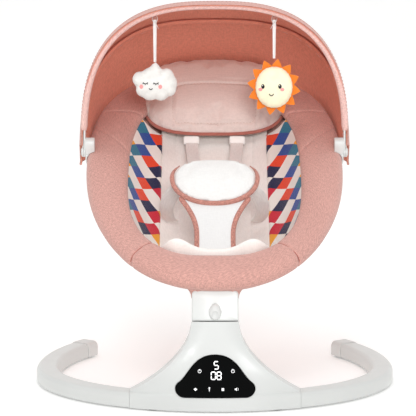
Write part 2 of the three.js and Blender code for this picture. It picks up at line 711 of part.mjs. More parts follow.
function makeBucket() {
  const shrink = 1.5;
  const width = (s) => ovalHalfWidth(INNER_LINE, s) - shrink;
  const slingTop = bucketGrid(18, 13, 50, 536, (s) => [-width(s), width(s)], LINER_THICK + 8);
  add(seat, "seat_sling", gridSlab(slingTop, lowered(slingTop, SLING_THICK)), COLOURS.pink, 0.95);

  add(seat, "seat_liner", linerSlab(), COLOURS.cream, 0.95);

  for (const [word, side] of SIDES) {
    const edges = (s) => {
      const pair = [side * (linerHalfWidth(s) + 0.6), side * (ovalHalfWidth(INNER_LINE, s) - 2)];
      return side > 0 ? pair : pair.reverse();
    };
    const top = bucketGrid(14, 6, 96, 452, edges, 0);
    add(seat, `side_wing_${word}`, gridSlab(top, lowered(top, LINER_THICK)), COLOURS.softWhite, 0.95);
  }
}

// A pillow of an oval outline, domed on both faces.
function domedOval(halfWidth, halfHeight, topHeight, bottomDepth, power, around = 24) {
  const reaches = [1, 0.93, 0.78, 0.5];
  const ring = (reach, z) =>
    Array.from({ length: around }, (_, k) => {
      const turn = (2 * Math.PI * k) / around;
      const c = Math.cos(turn);
      const s = Math.sin(turn);
      const x = halfWidth * reach * Math.sign(c) * Math.abs(c) ** (2 / power);
      const y = halfHeight * reach * Math.sign(s) * Math.abs(s) ** (2 / power);
      return V(x, y, z);
    });
  const dome = (reach) => Math.sqrt(1 - reach ** 2.4);
  const up = reaches.toReversed().map((reach) => ring(reach, topHeight * dome(reach)));
  const down = reaches.slice(1).map((reach) => ring(reach, -bottomDepth * dome(reach)));
  return ringLoft([...up, ...down]);
}

function makePillow() {
  const pillow = domedOval(119, 85, 24, 15, 2.7);
  pillow.rotateX(rad(16.3)).translate(0, 518, 4);
  const near = rimForm().translate(0, -RING_CENTRE, 0).scale(0.99, 0.99, 1).translate(0, RING_CENTRE, 0.8);
  const rims = [0.8, -0.8].map((shift) => rimForm().translate(0, 0, shift));
  const trimmed = cut(pillow, near, ...rims, linerSlab().translate(0, 0, 0.8));
  add(seat, "head_pillow", largestPiece(trimmed), COLOURS.cream, 0.95);
}

function largestPiece(geometry) {
  const pieces = solidOf(geometry).decompose();
  return geometryOf(pieces.reduce((best, piece) => (piece.volume() > best.volume() ? piece : best)));
}

// ---------------------------------------------------------------- harness, in the upright frame

const HARNESS_TILT_DEG = 45;
const CROTCH_FOOT = V(0, -205, 212);
const STRAP_THICK = 2;

// The belly pad hangs in front of the buckle, so both share one leaning plane.
function makeHarness() {
  const tilt = rad(HARNESS_TILT_DEG);
  const place = (geometry) => geometry.rotateX(tilt).translate(0, CROTCH_FOOT.y, CROTCH_FOOT.z);
  const belly = domedOval(70, 46, 8, 5, 2.1, 24).translate(0, 130, 4);
  add(upright, "belly_pad", place(belly), COLOURS.softWhite, 0.95);

  const half = (t) => 27.5 + 10 * Math.max(0, (t - 30) / 60) ** 2;
  const rows = [4, 25, 45, 65, 83].map((t) => [-1, -0.5, 0, 0.5, 1].map((u) => V(u * half(t), t, 4)));
  const under = rows.map((row) => row.map((p) => p.clone().setZ(-4)));
  const crotch = cut(gridSlab(rows, under), domedOval(71, 47, 12, 12, 2.1, 24).translate(0, 130, 4));
  add(upright, "crotch_pad", place(crotch), COLOURS.softWhite, 0.95);

  const pocket = box(-9, 9, -10, 6, -1.5, 10);
  const stemPocket = box(-5, 5, -6, 2, -5, 10);
  const buckleBody = cut(box(-22, 22, -18, 18, -6, 6), pocket, stemPocket);
  const button = join(box(-8.6, 8.6, -9.6, 5.6, 2.2, 7.4), box(-4.5, 4.5, -5.5, 1.5, 0, 3));
  const behind = (geometry) => place(geometry.translate(0, 136, -14));
  add(upright, "harness_buckle", behind(buckleBody), COLOURS.softWhite, 0.4);
  add(upright, "buckle_button", behind(button), COLOURS.softWhite, 0.4);
}

// A flat strap through points, its width held along a fixed direction at each point.
function strap(points, widths, width, thick) {
  const curve = new THREE.CatmullRomCurve3(points);
  const wide = new THREE.CatmullRomCurve3(widths);
  const steps = 8;
  const rings = Array.from({ length: steps + 1 }, (_, i) => {
    const at = curve.getPoint(i / steps);
    const along = curve.getTangent(i / steps);
    const side = wide.getPoint(i / steps);
    side.addScaledVector(along, -side.dot(along)).normalize();
    const up = side.clone().cross(along).normalize();
    side.multiplyScalar(width / 2);
    up.multiplyScalar(thick / 2);
    const corner = (a, b) => at.clone().addScaledVector(side, a).addScaledVector(up, b);
    return [corner(-1, -1), corner(1, -1), corner(1, 1), corner(-1, 1)];
  });
  return ringLoft(rings);
}

function makeStraps() {
  for (const [word, side] of SIDES) {
    const across = V(1, 0, 0);
    const on = (points) => points.map(([x, y, z]) => V(side * x, y, z));
    const shoulderLine = on([[37, 146, 348], [35, 100, 331], [31, 30, 315], [26, -60, 312]]);
    const shoulder = strap(shoulderLine, [across, across, across, across], 24, STRAP_THICK);
    add(upright, `shoulder_strap_${word}`, shoulder, COLOURS.softWhite, 0.9);
    const waistLine = on([[60, -72, 296], [76, -62, 286], [83, -42, 268], [79, -24, 252]]);
    const waistWidths = on([[0.5, 0.7, 0.7], [0.1, 0.75, 0.66], [-0.2, 0.8, 0.6], [-0.3, 0.8, 0.55]]);
    const waist = strap(waistLine, waistWidths, 25, STRAP_THICK);
    add(upright, `waist_strap_${word}`, waist, COLOURS.softWhite, 0.9);
  }
}

// ---------------------------------------------------------------- canopy

// Slice sizes at an angle: half-width, height and squareness of the arch.
function canopySlice(degrees) {
  const back = Math.max(0, degrees - MID_BOW_DEG) / (RING_DEG - MID_BOW_DEG);
  const front = Math.min(1, Math.max(0, (degrees - FRONT_BOW_DEG) / (MID_BOW_DEG - FRONT_BOW_DEG)));
  return {
    half: 213.5 + 3.5 * front,
    high: 243.5 - 2.5 * front + 40 * back ** 1.5,
    power: 2.7 + 0.1 * front - 0.2 * back,
  };
}

// A point on a slice: turn 0 and PI are at the pivots.
function slicePoint(degrees, slice, turn, start = 0) {
  const c = Math.cos(turn);
  const s = Math.sin(turn);
  const x = slice.half * Math.sign(c) * Math.abs(c) ** (2 / slice.power);
  const r = start + (slice.high - start) * Math.abs(s) ** (2 / slice.power);
  return V(x, -r * Math.cos(rad(degrees)), r * Math.sin(rad(degrees)));
}

// Turns for an arch: closer together near the corners of the arch.
function archTurns(count) {
  return Array.from({ length: count }, (_, i) => (Math.PI * i) / (count - 1));
}

function canopyRow(degrees, inset, count, drop = 0) {
  const slice = canopySlice(degrees);
  slice.half -= inset;
  slice.high -= inset;
  const down = V(0, Math.sin(rad(SEAT_TILT_DEG)), -Math.cos(rad(SEAT_TILT_DEG)));
  return archTurns(count).map((turn) => slicePoint(degrees, slice, turn, 2).addScaledVector(down, drop));
}

// A flat strip bent along a slice, with an eye at each end.
function canopyBow(degrees, half, high, power, eyeThick) {
  const slice = { half, high, power };
  const turns = archTurns(25);
  const across = V(0, -Math.cos(rad(degrees)), Math.sin(rad(degrees)));
  const sideways = V(0, across.z, -across.y);
  const rings = turns.map((turn) => {
    const here = slicePoint(degrees, slice, turn);
    const next = slicePoint(degrees, slice, Math.min(Math.PI, turn + 0.01));
    const before = slicePoint(degrees, slice, Math.max(0, turn - 0.01));
    const along = next.sub(before).normalize();
    const out = along.clone().cross(sideways).normalize();
    const corner = (a, b) => here.clone().addScaledVector(out, a * 1.2).addScaledVector(sideways, b * 4.5);
    return [corner(-1, -1), corner(1, -1), corner(1, 1), corner(-1, 1)];
  });
  const strip = ringLoft(rings);
  const disc = (radius, thick) =>
    [-1, 1].map((side) => cylinderX(radius, -thick / 2, thick / 2, 16).translate(side * half, 0, 0));
  const eyes = disc(8, eyeThick);
  const holes = disc(3.3, 12);
  return cut(join(strip, ...eyes), ...holes);
}

function makeCanopy() {
  add(canopy, "canopy_front_bow", canopyBow(FRONT_BOW_DEG, 208.2, 237, 2.7, 2.4), COLOURS.white, 0.5);
  add(canopy, "canopy_mid_bow", canopyBow(MID_BOW_DEG, 211, 235, 2.8, 2.4), COLOURS.white, 0.5);
  const columns = 25;
  const front = [CANOPY_EDGE_DEG, 84, 95, 107, MID_BOW_DEG - 0.4];
  const eyelets = cylinderX(10.5, -230, 230, 16);
  const frontPanel = gridSlab(
    front.map((degrees) => canopyRow(degrees, 0, columns)),
    front.map((degrees) => canopyRow(degrees, FABRIC, columns)),
  );
  add(canopy, "canopy_front_panel", cut(frontPanel, eyelets), COLOURS.salmon, 0.95);
  const rear = [MID_BOW_DEG + 0.4, 132, 144, RING_DEG];
  const rows = (inset) => [
    ...rear.map((degrees) => canopyRow(degrees, inset, columns)),
    canopyRow(RING_DEG, inset, columns, SKIRT),
  ];
  const rearPanel = cut(gridSlab(rows(0), rows(FABRIC)), eyelets);
  add(canopy, "canopy_rear_panel", rearPanel, COLOURS.salmon, 0.95);
}

function makeClips() {
  for (const [word, side] of SIDES) {
    const outside = box(0, 40, -20, 20, -20, 30);
    const ring = cut(cylinderY(16.4, -13, 13, 28), cylinderY(14.2, -20, 20, 28));
    const lug = box(12, 16.4, -10, 10, 0, 22);
    const pinHole = cylinderX(3.3, -5, 30, 16).translate(0, 0, PIVOT_UP);
    const clip = cut(common(join(ring, lug), outside), pinHole, cylinderY(14.2, -20, 20, 28));
    const place = (geometry) => {
      if (side < 0) geometry.rotateZ(Math.PI);
      return geometry.translate(side * TUBE_LINE.half, PIVOT_ALONG, 0);
    };
    add(seat, `canopy_clip_${word}`, place(clip), COLOURS.white, 0.4);
    const pin = join(cylinderX(3, 14.6, 23, 16), cylinderX(6, 22.6, 23.8, 16)).translate(0, 0, PIVOT_UP);
    add(seat, `canopy_pin_${word}`, place(pin), COLOURS.white, 0.4);
  }
}

// ---------------------------------------------------------------- hanging toys

const TOY_X = 94;
const TOY_Y = 2;
const LOOP_Z = 555.5;
const CORD_RADIUS = 1.8;

function ball(x, z, radius, thick) {
  return new THREE.SphereGeometry(1, 12, 7).scale(radius, thick, radius).translate(x, 0, z);
}

function makeCloud() {
  const lobes = [ball(0, 12, 20, 13), ball(-20, 2, 15.5, 12), ball(20, 2, 15.5, 12),
    ball(-12, -15, 14.5, 12), ball(13, -15, 14.5, 12), ball(0, -6, 20, 14)];
  add(upright, "cloud_toy", join(...lobes).translate(-TOY_X, TOY_Y, 449.5), COLOURS.softWhite, 0.95);
}

function makeSun() {
  const centre = 442.5;
  const face = new THREE.SphereGeometry(1, 18, 10).scale(30, 13, 33.5);
  const shape = new THREE.Shape();
  const rays = 12;
  for (let k = 0; k < rays; k++) {
    for (const [turn, reach] of [[0, 0.77], [0.5, 1]]) {
      const angle = (2 * Math.PI * (k + turn)) / rays;
      const [x, y] = [42.5 * reach * Math.cos(angle), 45 * reach * Math.sin(angle)];
      if (k === 0 && turn === 0) shape.moveTo(x, y);
      else shape.lineTo(x, y);
    }
  }
  const star = new THREE.ExtrudeGeometry(shape, { depth: 3, bevelEnabled: false });
  star.rotateX(Math.PI / 2).translate(0, 8, 0);
  const hole = new THREE.SphereGeometry(1, 18, 10).scale(30.4, 13.4, 33.9);
  add(upright, "sun_toy", face.translate(TOY_X, TOY_Y, centre), COLOURS.sun, 0.95);
  add(upright, "sun_rays", cut(star, hole).translate(TOY_X, TOY_Y, centre), COLOURS.orange, 0.95);
}

function makeToyCords() {
  const lows = { left: 482.2, right: 488.2 };
  for (const [word, side] of SIDES) {
    const loop = new THREE.TorusGeometry(5, 1.2, 6, 12).rotateY(Math.PI / 2);
    loop.translate(side * TOY_X, TOY_Y, LOOP_Z);
    add(upright, `toy_loop_${word}`, loop, COLOURS.salmon, 0.95);
    const low = V(side * TOY_X, TOY_Y, lows[word]);
    const high = V(side * TOY_X, TOY_Y, LOOP_Z - 6.6);
    const turns = Array.from({ length: 8 }, (_, k) => (k * Math.PI) / 4);
    const corners = turns.map((a) => new THREE.Vector2(CORD_RADIUS * Math.cos(a), CORD_RADIUS * Math.sin(a)));
    const section = new THREE.Shape(corners);
    const path = new THREE.LineCurve3(low, high);
    const cord = new THREE.ExtrudeGeometry(section, { steps: 4, extrudePath: path, bevelEnabled: false });
    add(upright, `toy_cord_${word}`, cord, COLOURS.softWhite, 0.9);
  }
}

makeBaseTubes();
makeFeet();
makeHousing();
makeDrive();
makeElectrics();
makeHead();
makeLatch();
makeRim();
makeSeatBracket();
makeBucket();
makePillow();
makeHarness();
makeStraps();
makeClips();
makeCanopy();
makeCloud();
makeSun();
makeToyCords();

export default swing;
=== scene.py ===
"""A powered baby swing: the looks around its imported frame.

Formulas are in millimetres in the design frame. The driving dimensions are the CAD part's, apart from
the bucket's foot (INNER_LINE) and the foot seams (FOOT_SEAM), which are shaped here for their looks.
to_metres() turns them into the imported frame's metres where a mesh is made."""
import math

import bmesh
import bpy
import numpy as np
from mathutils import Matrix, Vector
from mathutils.bvhtree import BVHTree


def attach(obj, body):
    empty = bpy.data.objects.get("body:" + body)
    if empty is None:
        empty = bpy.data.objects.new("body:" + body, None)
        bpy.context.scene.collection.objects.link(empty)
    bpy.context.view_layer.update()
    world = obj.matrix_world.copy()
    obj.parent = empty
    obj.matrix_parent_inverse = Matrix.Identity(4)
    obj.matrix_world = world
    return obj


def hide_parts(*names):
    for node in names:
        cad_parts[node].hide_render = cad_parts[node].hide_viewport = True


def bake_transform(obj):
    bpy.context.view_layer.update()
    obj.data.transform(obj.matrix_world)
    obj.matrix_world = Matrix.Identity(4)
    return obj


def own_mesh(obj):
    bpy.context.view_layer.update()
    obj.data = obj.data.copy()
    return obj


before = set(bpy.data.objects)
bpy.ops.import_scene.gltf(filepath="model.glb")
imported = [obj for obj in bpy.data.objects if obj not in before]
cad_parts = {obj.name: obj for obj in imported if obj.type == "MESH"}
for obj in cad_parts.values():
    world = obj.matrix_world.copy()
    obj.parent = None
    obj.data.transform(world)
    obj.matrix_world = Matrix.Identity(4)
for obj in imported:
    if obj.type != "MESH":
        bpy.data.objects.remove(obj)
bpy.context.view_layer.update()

# ---------------------------------------------------------------- driving dimensions, millimetres

SHIFT_Y = 21.95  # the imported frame's origin lies under the middle of the whole object
BASE_CENTRE_Y = -124
BASE_HALF_WIDTH = 258
BASE_FRONT = 199
BASE_REAR = 280
TUBE_WIDTH = 33
TUBE_LOW = 2.5
TUBE_TOP = 25
TUBE_SHOULDER = 18
TUBE_END_DEG = 122
CAP_END_DEG = 128
HOUSING_HALF_WIDTH = 124
NECK_HALF_WIDTH = 35
NECK_HEIGHT = 123
HOUSING_FRONT_Y = -340
HOUSING_REAR_Y = -228
HOUSING_LEAN = 0.415
HOUSING_SPLIT_Y = -262
WALL = 3.5
SWING_ORIGIN = np.array([0, -262, 116.5])
SWING_LEAN = math.radians(15)
HEAD = {"half_width": 34, "half_depth": 27, "low": 1.3, "high": 46, "corner": 6, "bevel": 2}
SEAT_ORIGIN = np.array([0, -272, 188])
SEAT_TILT = math.radians(25)
TUBE_LINE = {"half": 190, "foot": 325, "head": 267, "foot_power": 2.2, "head_power": 2.6, "centre": 320}
INNER_LINE = {"half": 137.5, "foot": 258, "head": 245, "foot_power": 2.8, "head_power": 2.6, "centre": 300}
PAD_RADIUS = 13.5
FOOT_SEAM = [(92, 74), (152, 5)]
HEAD_SEAM = 455
LINER_THICK = 11
PIVOT_ALONG = 335
PIVOT_UP = 8
EDGE_DEG = 77
FRONT_BOW_DEG = 80
MID_BOW_DEG = 120
RING_DEG = 155
SKIRT = 30
HARNESS_TILT = math.radians(45)
CROTCH_FOOT = np.array([0, -205, 212])
TOY_X = 94
TOY_Y = 2
LOOP_Z = 555.5
SIDES = (("left", -1), ("right", 1))


# ---------------------------------------------------------------- frames of reference

def to_metres(points):
    """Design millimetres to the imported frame's metres."""
    return (np.asarray(points, float) + (0, SHIFT_Y, 0)) / 1000


def stacked(x, y, z):
    return np.stack(np.broadcast_arrays(np.asarray(x, float), y, z), axis=-1)


def turned_about_x(points, angle, origin):
    """Points turned about X by angle, then moved to origin."""
    p = np.asarray(points, float)
    c, s = math.cos(angle), math.sin(angle)
    return stacked(p[..., 0], c * p[..., 1] - s * p[..., 2], s * p[..., 1] + c * p[..., 2]) + origin


def on_seat(x, along, up):
    """Seat plane to design frame."""
    return turned_about_x(stacked(x, along, up), SEAT_TILT, SEAT_ORIGIN)


def in_swing(x, y, z):
    """Swing axis frame to design frame."""
    return turned_about_x(stacked(x, y, z), -SWING_LEAN, SWING_ORIGIN)


def in_harness(x, along, up):
    """Harness plane to design frame."""
    return turned_about_x(stacked(x, along, up), HARNESS_TILT, CROTCH_FOOT)


CANOPY_PIVOT = on_seat(0, PIVOT_ALONG, PIVOT_UP)
SEAT_UP = on_seat(0, 0, 1) - on_seat(0, 0, 0)
SEAT_DOWN = np.array([0, math.sin(SEAT_TILT), -math.cos(SEAT_TILT)])


# ---------------------------------------------------------------- curves

def full_turn(count):
    """Angles once round, without the last one that would repeat the first."""
    return np.arange(count) * 2 * math.pi / count


def smooth_weights(count, samples, closed):
    """Catmull-Rom weights that turn count control points into samples points."""
    spans = count if closed else count - 1
    t = np.arange(samples) * spans / (samples if closed else samples - 1)
    i = np.minimum(t.astype(int), spans - 1)
    f = t - i
    basis = [-f**3 + 2 * f**2 - f, 3 * f**3 - 5 * f**2 + 2, -3 * f**3 + 4 * f**2 + f, f**3 - f**2]
    weights = np.zeros((samples, count))
    for k, share in enumerate(basis):
        at = (i + k - 1) % count if closed else np.clip(i + k - 1, 0, count - 1)
        np.add.at(weights, (np.arange(samples), at), share / 2)
    return weights


def smooth(points, samples, closed=False):
    points = np.asarray(points, float)
    return smooth_weights(len(points), samples, closed) @ points


def evenly(points, samples, closed=False):
    """Points spread evenly along a line of points."""
    points = np.asarray(points, float)
    if closed:
        points = np.vstack([points, points[:1]])
    reach = np.concatenate([[0], np.cumsum(np.linalg.norm(np.diff(points, axis=0), axis=1))])
    at = np.linspace(0, reach[-1], samples, endpoint=not closed)
    return np.stack([np.interp(at, reach, points[:, k]) for k in range(points.shape[1])], axis=1)


def signed_power(value, power):
    return np.sign(value) * np.abs(value) ** power


def oval_point(line, turn):
    c, s = np.cos(turn), np.sin(turn)
    power = np.where(s < 0, line["foot_power"], line["head_power"])
    semi = np.where(s < 0, line["foot"], line["head"])
    x = line["half"] * signed_power(c, 2 / power)
    return np.stack([x, line["centre"] + semi * signed_power(s, 2 / power)], axis=-1)


def oval_half_width(line, along):
    along = np.asarray(along, float)
    foot = along < line["centre"]
    power = np.where(foot, line["foot_power"], line["head_power"])
    semi = np.where(foot, line["foot"], line["head"])
    reach = np.minimum(1, np.abs(along - line["centre"]) / semi)
    return line["half"] * (1 - reach**power) ** (1 / power)


def bezier(p0, p1, p2, p3, samples):
    t = np.linspace(0, 1, samples, endpoint=False)[:, None]
    p0, p1, p2, p3 = (np.array(p, float) for p in (p0, p1, p2, p3))
    return (1 - t) ** 3 * p0 + 3 * (1 - t) ** 2 * t * p1 + 3 * (1 - t) * t**2 * p2 + t**3 * p3


def ripple(points, size, seed=0.0):
    """A smooth, repeatable wave field over points: about -1 to 1, with features of that size."""
    p = np.asarray(points, float) * (2 * math.pi / size)
    x, y, z = p[..., 0], p[..., 1], p[..., 2]
    a = np.sin(x * 0.83 + 1.7 * np.sin(y * 0.61 + seed) + seed)
    b = np.sin(y * 0.97 + 1.3 * np.sin(z * 0.71 + 2 * seed) + 2.1 * seed)
    c = np.sin(z * 0.79 + 1.5 * np.sin(x * 0.53 + 3 * seed) + 0.7)
    return (a + b + c) / 3


def bump_at(value, centre, width):
    return np.exp(-(((value - centre) / width) ** 2))


# ---------------------------------------------------------------- mesh building

def grid_faces(rows, columns, wrap_rows=False, wrap_columns=False):
    i, j = np.meshgrid(
        np.arange(rows if wrap_rows else rows - 1),
        np.arange(columns if wrap_columns else columns - 1),
        indexing="ij",
    )
    i, j = i.ravel(), j.ravel()
    corners = [(i, j), (i, j + 1), (i + 1, j + 1), (i + 1, j)]
    faces = np.stack([(a % rows) * columns + b % columns for a, b in corners], axis=1)
    return faces, corners


def surface_uv(points, wrap_rows, wrap_columns):
    """Each grid point's place on its surface in metres, across and along."""
    if wrap_columns:
        points = np.concatenate([points, points[:, :1]], axis=1)
    if wrap_rows:
        points = np.concatenate([points, points[:1]], axis=0)
    across = np.linalg.norm(np.diff(points, axis=1), axis=2)
    u = np.concatenate([np.zeros((len(points), 1)), np.cumsum(across, axis=1)], axis=1)
    u -= u[:, u.shape[1] // 2][:, None]
    along = np.linalg.norm(np.diff(points, axis=0), axis=2)
    v = np.concatenate([np.zeros((1, points.shape[1])), np.cumsum(along, axis=0)], axis=0)
    return np.stack([u, v], axis=-1)


def mesh_piece(name, points, faces, material, sharp_deg=40):
    """A smooth-shaded piece from points in metres."""
    mesh = bpy.data.meshes.new(name)
    mesh.from_pydata(np.asarray(points).tolist(), [], [tuple(int(k) for k in f) for f in faces])
    obj = bpy.data.objects.new(name, mesh)
    bpy.context.scene.collection.objects.link(obj)
    mesh.materials.append(material)
    shade(obj, sharp_deg)
    return obj


def shade(obj, sharp_deg=40):
    obj.data.polygons.foreach_set("use_smooth", [True] * len(obj.data.polygons))
    obj.data.set_sharp_from_angle(angle=math.radians(sharp_deg))


def face_outwards(obj):
    work = bmesh.new()
    work.from_mesh(obj.data)
    bmesh.ops.recalc_face_normals(work, faces=work.faces)
    work.to_mesh(obj.data)
    work.free()


def loft(name, rings, material, loops=False, sharp_deg=40):
    """A closed skin over rings of equal length, in design millimetres. Ends are fans unless it loops."""
    rings = to_metres(rings)
    rows, columns = rings.shape[:2]
    faces, corners = grid_faces(rows, columns, loops, True)
    uv = surface_uv(rings, loops, True)
    points = rings.reshape(-1, 3)
    faces = faces.tolist()
    if not loops:
        points = np.vstack([points, rings[0].mean(0), rings[-1].mean(0)])
        first, last = len(points) - 2, (rows - 1) * columns
        faces += [(first, (j + 1) % columns, j) for j in range(columns)]
        faces += [(first + 1, last + j, last + (j + 1) % columns) for j in range(columns)]
    obj = mesh_piece(name, points, faces, material, sharp_deg)
    layer = obj.data.uv_layers.new(name="surface")
    values = np.zeros((len(obj.data.loops), 2))
    values[: 4 * len(corners[0][0])] = np.stack([uv[a, b] for a, b in corners], axis=1).reshape(-1, 2)
    layer.data.foreach_set("uv", values.ravel())
    face_outwards(obj)
    return obj


def slab(name, top, bottom, material, sharp_deg=60):
    """A closed slab between two grids with the same rows and columns, with surface coordinates."""
    top, bottom = to_metres(top), to_metres(bottom)
    rows, columns = top.shape[:2]
    faces, corners = grid_faces(rows, columns)
    uv = surface_uv(top, False, False)
    flat_uv = np.concatenate([uv.reshape(-1, 2)] * 2)
    under = rows * columns
    index = np.arange(under).reshape(rows, columns)
    edge = np.concatenate([index[0, :-1], index[:-1, -1], index[-1, :0:-1], index[:0:-1, 0]])
    following = np.roll(edge, -1)
    walls = np.stack([edge, following, following + under, edge + under], axis=1)
    every = np.concatenate([faces, faces[:, ::-1] + under, walls])
    points = np.concatenate([top.reshape(-1, 3), bottom.reshape(-1, 3)])
    obj = mesh_piece(name, points, every, material, sharp_deg)
    layer = obj.data.uv_layers.new(name="surface")
    layer.data.foreach_set("uv", flat_uv[every.ravel()].ravel())
    face_outwards(obj)
    return obj


def grid_normals(points):
    du = np.gradient(points, axis=1)
    dv = np.gradient(points, axis=0)
    normal = np.cross(du, dv)
    length = np.linalg.norm(normal, axis=-1, keepdims=True)
    return normal / np.maximum(length, 1e-9)


def line_frames(path, closed, lead):
    """Along, side and up directions at each point of a line; side starts near lead."""
    path = np.asarray(path, float)
    if closed:
        along = np.roll(path, -1, 0) - np.roll(path, 1, 0)
    else:
        along = np.gradient(path, axis=0)
    along /= np.linalg.norm(along, axis=1, keepdims=True)
    side = np.zeros_like(path)
    previous = np.asarray(lead, float)
    for i, direction in enumerate(along):
        previous = previous - direction * previous.dot(direction)
        previous = previous / np.linalg.norm(previous)
        side[i] = previous
    return along, side, np.cross(along, side)


def tube(name, path, wide, high, material, closed=False, lead=(0, 0, 1), sides=12, ends=1.0):
    """A tube of oval section along a line: wide is its half size towards lead, high the other way."""
    path = np.asarray(path, float)
    along, side, up = line_frames(path, closed, lead)
    turn = full_turn(sides)
    size = np.ones(len(path))
    if not closed and ends < 1:
        size[[0, -1]] = ends
        size[[1, -2]] = (1 + ends) / 2
    wide, high = (np.broadcast_to(np.asarray(w, float), len(path)) * size for w in (wide, high))
    rings = (
        path[:, None]
        + side[:, None] * (wide[:, None] * np.cos(turn))[..., None]
        + up[:, None] * (high[:, None] * np.sin(turn))[..., None]
    )
    return loft(name, rings, material, closed, sharp_deg=50)


def stitches(name, path, material, long=3.2, gap=2.2, thick=0.45, closed=False):
    """Short raised threads along a line."""
    path = np.asarray(path, float)
    length = np.linalg.norm(np.diff(path, axis=0), axis=1).sum()
    count = max(2, int(length / (long + gap)))
    fine = evenly(path, count * 5, closed)
    sides = 5
    turn = full_turn(sides)
    points, faces = [], []
    along, side, up = line_frames(fine, closed, (0.2, 0.3, 1))
    for k in range(count):
        first = len(points)
        for step, size in enumerate((0.35, 1, 1, 0.35)):
            i = min(5 * k + step, len(fine) - 1)
            ring = fine[i] + thick * size * (np.cos(turn)[:, None] * side[i] + np.sin(turn)[:, None] * up[i])
            points.extend(ring)
        quads, _ = grid_faces(4, sides, False, True)
        faces.extend((quads + first).tolist())
        faces.append([first + j for j in reversed(range(sides))])
        faces.append([first + 3 * sides + j for j in range(sides)])
    obj = mesh_piece(name, to_metres(points), faces, material)
    face_outwards(obj)
    return obj


def box_piece(name, x, y, z, place=stacked):
    """A box between pairs of limits, placed by one of the frames of reference."""
    corners = [(a, b, c) for a in x for b in y for c in z]
    points = to_metres([place(*corner) for corner in corners])
    faces = [(0, 1, 3, 2), (4, 6, 7, 5), (0, 4, 5, 1), (2, 3, 7, 6), (0, 2, 6, 4), (1, 5, 7, 3)]
    obj = mesh_piece(name, points, faces, PLAIN)
    face_outwards(obj)
    return obj


def applied(obj):
    """Turns the modifiers into the mesh itself."""
    graph = bpy.context.evaluated_depsgraph_get()
    mesh = bpy.data.meshes.new_from_object(obj.evaluated_get(graph))
    obj.modifiers.clear()
    obj.data = mesh
    return obj


def boolean(obj, tool, operation="DIFFERENCE"):
    """Cuts or joins a mesh with a tool, and removes the tool."""
    modifier = obj.modifiers.new("cut", "BOOLEAN")
    modifier.operation = operation
    modifier.solver = "MANIFOLD"
    modifier.object = tool
    applied(obj)
    bpy.data.objects.remove(tool)
    return obj


def copy_of(obj, name):
    twin = obj.copy()
    twin.data = obj.data.copy()
    twin.name = name
    bpy.context.scene.collection.objects.link(twin)
    return twin


def halved(obj, point, normal, name=None):
    """Keeps the part of a closed mesh on the side that normal points to, and closes it."""
    work = bmesh.new()
    work.from_mesh(obj.data)
    everything = work.verts[:] + work.edges[:] + work.faces[:]
    cut = bmesh.ops.bisect_plane(
        work, geom=everything, plane_co=Vector(to_metres(point)), plane_no=Vector(normal), clear_inner=True
    )
    edges = [e for e in cut["geom_cut"] if isinstance(e, bmesh.types.BMEdge)]
    bmesh.ops.holes_fill(work, edges=edges, sides=0)
    bmesh.ops.recalc_face_normals(work, faces=work.faces)
    work.to_mesh(obj.data)
    work.free()
    if name:
        obj.name = name
    shade(obj)
    return obj


def vertex_array(obj):
    co = np.zeros(len(obj.data.vertices) * 3)
    obj.data.vertices.foreach_get("co", co)
    return co.reshape(-1, 3)


def set_vertices(obj, points):
    obj.data.vertices.foreach_set("co", np.asarray(points, float).ravel())
    obj.data.update()


def surface_tree(*objects):
    points, faces = [], []
    for obj in objects:
        first = len(points)
        points += [v.co.copy() for v in obj.data.vertices]
        faces += [[first + k for k in p.vertices] for p in obj.data.polygons]
    return BVHTree.FromPolygons(points, faces)


SETTLE_FRAMES = 20


def puffed(obj, voxel, cap, seam_of=None, grow=0.0):
    """Lets a padded piece fill out as cloth under pressure; each point moves no more than cap.

    Lengths are in metres. seam_of gives how firmly each point is held, 0 to 1; grow is spare cloth."""
    remesh = obj.modifiers.new("remesh", "REMESH")
    remesh.mode = "VOXEL"
    remesh.voxel_size = voxel
    applied(obj)
    rest = vertex_array(obj)
    held = np.zeros(len(rest)) if seam_of is None else np.clip(seam_of(rest), 0, 1)
    group = obj.vertex_groups.new(name="held")
    for k in np.flatnonzero(held > 0.01):
        group.add([int(k)], float(held[k]), "REPLACE")
    cloth = obj.modifiers.new("fill", "CLOTH")
    cloth.settings.quality = 6
    cloth.settings.mass = 0.25
    cloth.settings.tension_stiffness = 12
    cloth.settings.compression_stiffness = 12
    cloth.settings.bending_stiffness = 0.4
    cloth.settings.shrink_min = -grow
    cloth.settings.use_pressure = True
    cloth.settings.uniform_pressure_force = 4
    cloth.settings.effector_weights.gravity = 0
    cloth.settings.vertex_group_mass = "held"
    cloth.point_cache.frame_start = 1
    cloth.point_cache.frame_end = SETTLE_FRAMES
    for step in range(1, SETTLE_FRAMES + 1):
        bpy.context.scene.frame_set(step)
    applied(obj)
    move = vertex_array(obj) - rest
    size = np.linalg.norm(move, axis=1, keepdims=True)
    set_vertices(obj, rest + move * np.minimum(1, cap / np.maximum(size, 1e-9)))
    bpy.context.scene.frame_set(1)
    finer = obj.modifiers.new("finer", "SUBSURF")
    finer.levels = 1
    finer.render_levels = 1
    applied(obj)
    obj.vertex_groups.clear()
    shade(obj, 60)
    return obj


def frame_coords(points, frame_of):
    """Points in metres, given in a tilted frame of reference's own millimetres."""
    origin = frame_of(0, 0, 0)
    axes = np.stack([frame_of(*unit) - origin for unit in np.eye(3)])
    return (points * 1000 - (0, SHIFT_Y, 0) - origin) @ axes.T, axes


def place(obj, body, slot, *nodes):
    """The piece rides on a body and stands for CAD nodes; slot is not used."""
    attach(obj, body)
    if nodes:
        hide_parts(*nodes)
    return obj


# ---------------------------------------------------------------- materials

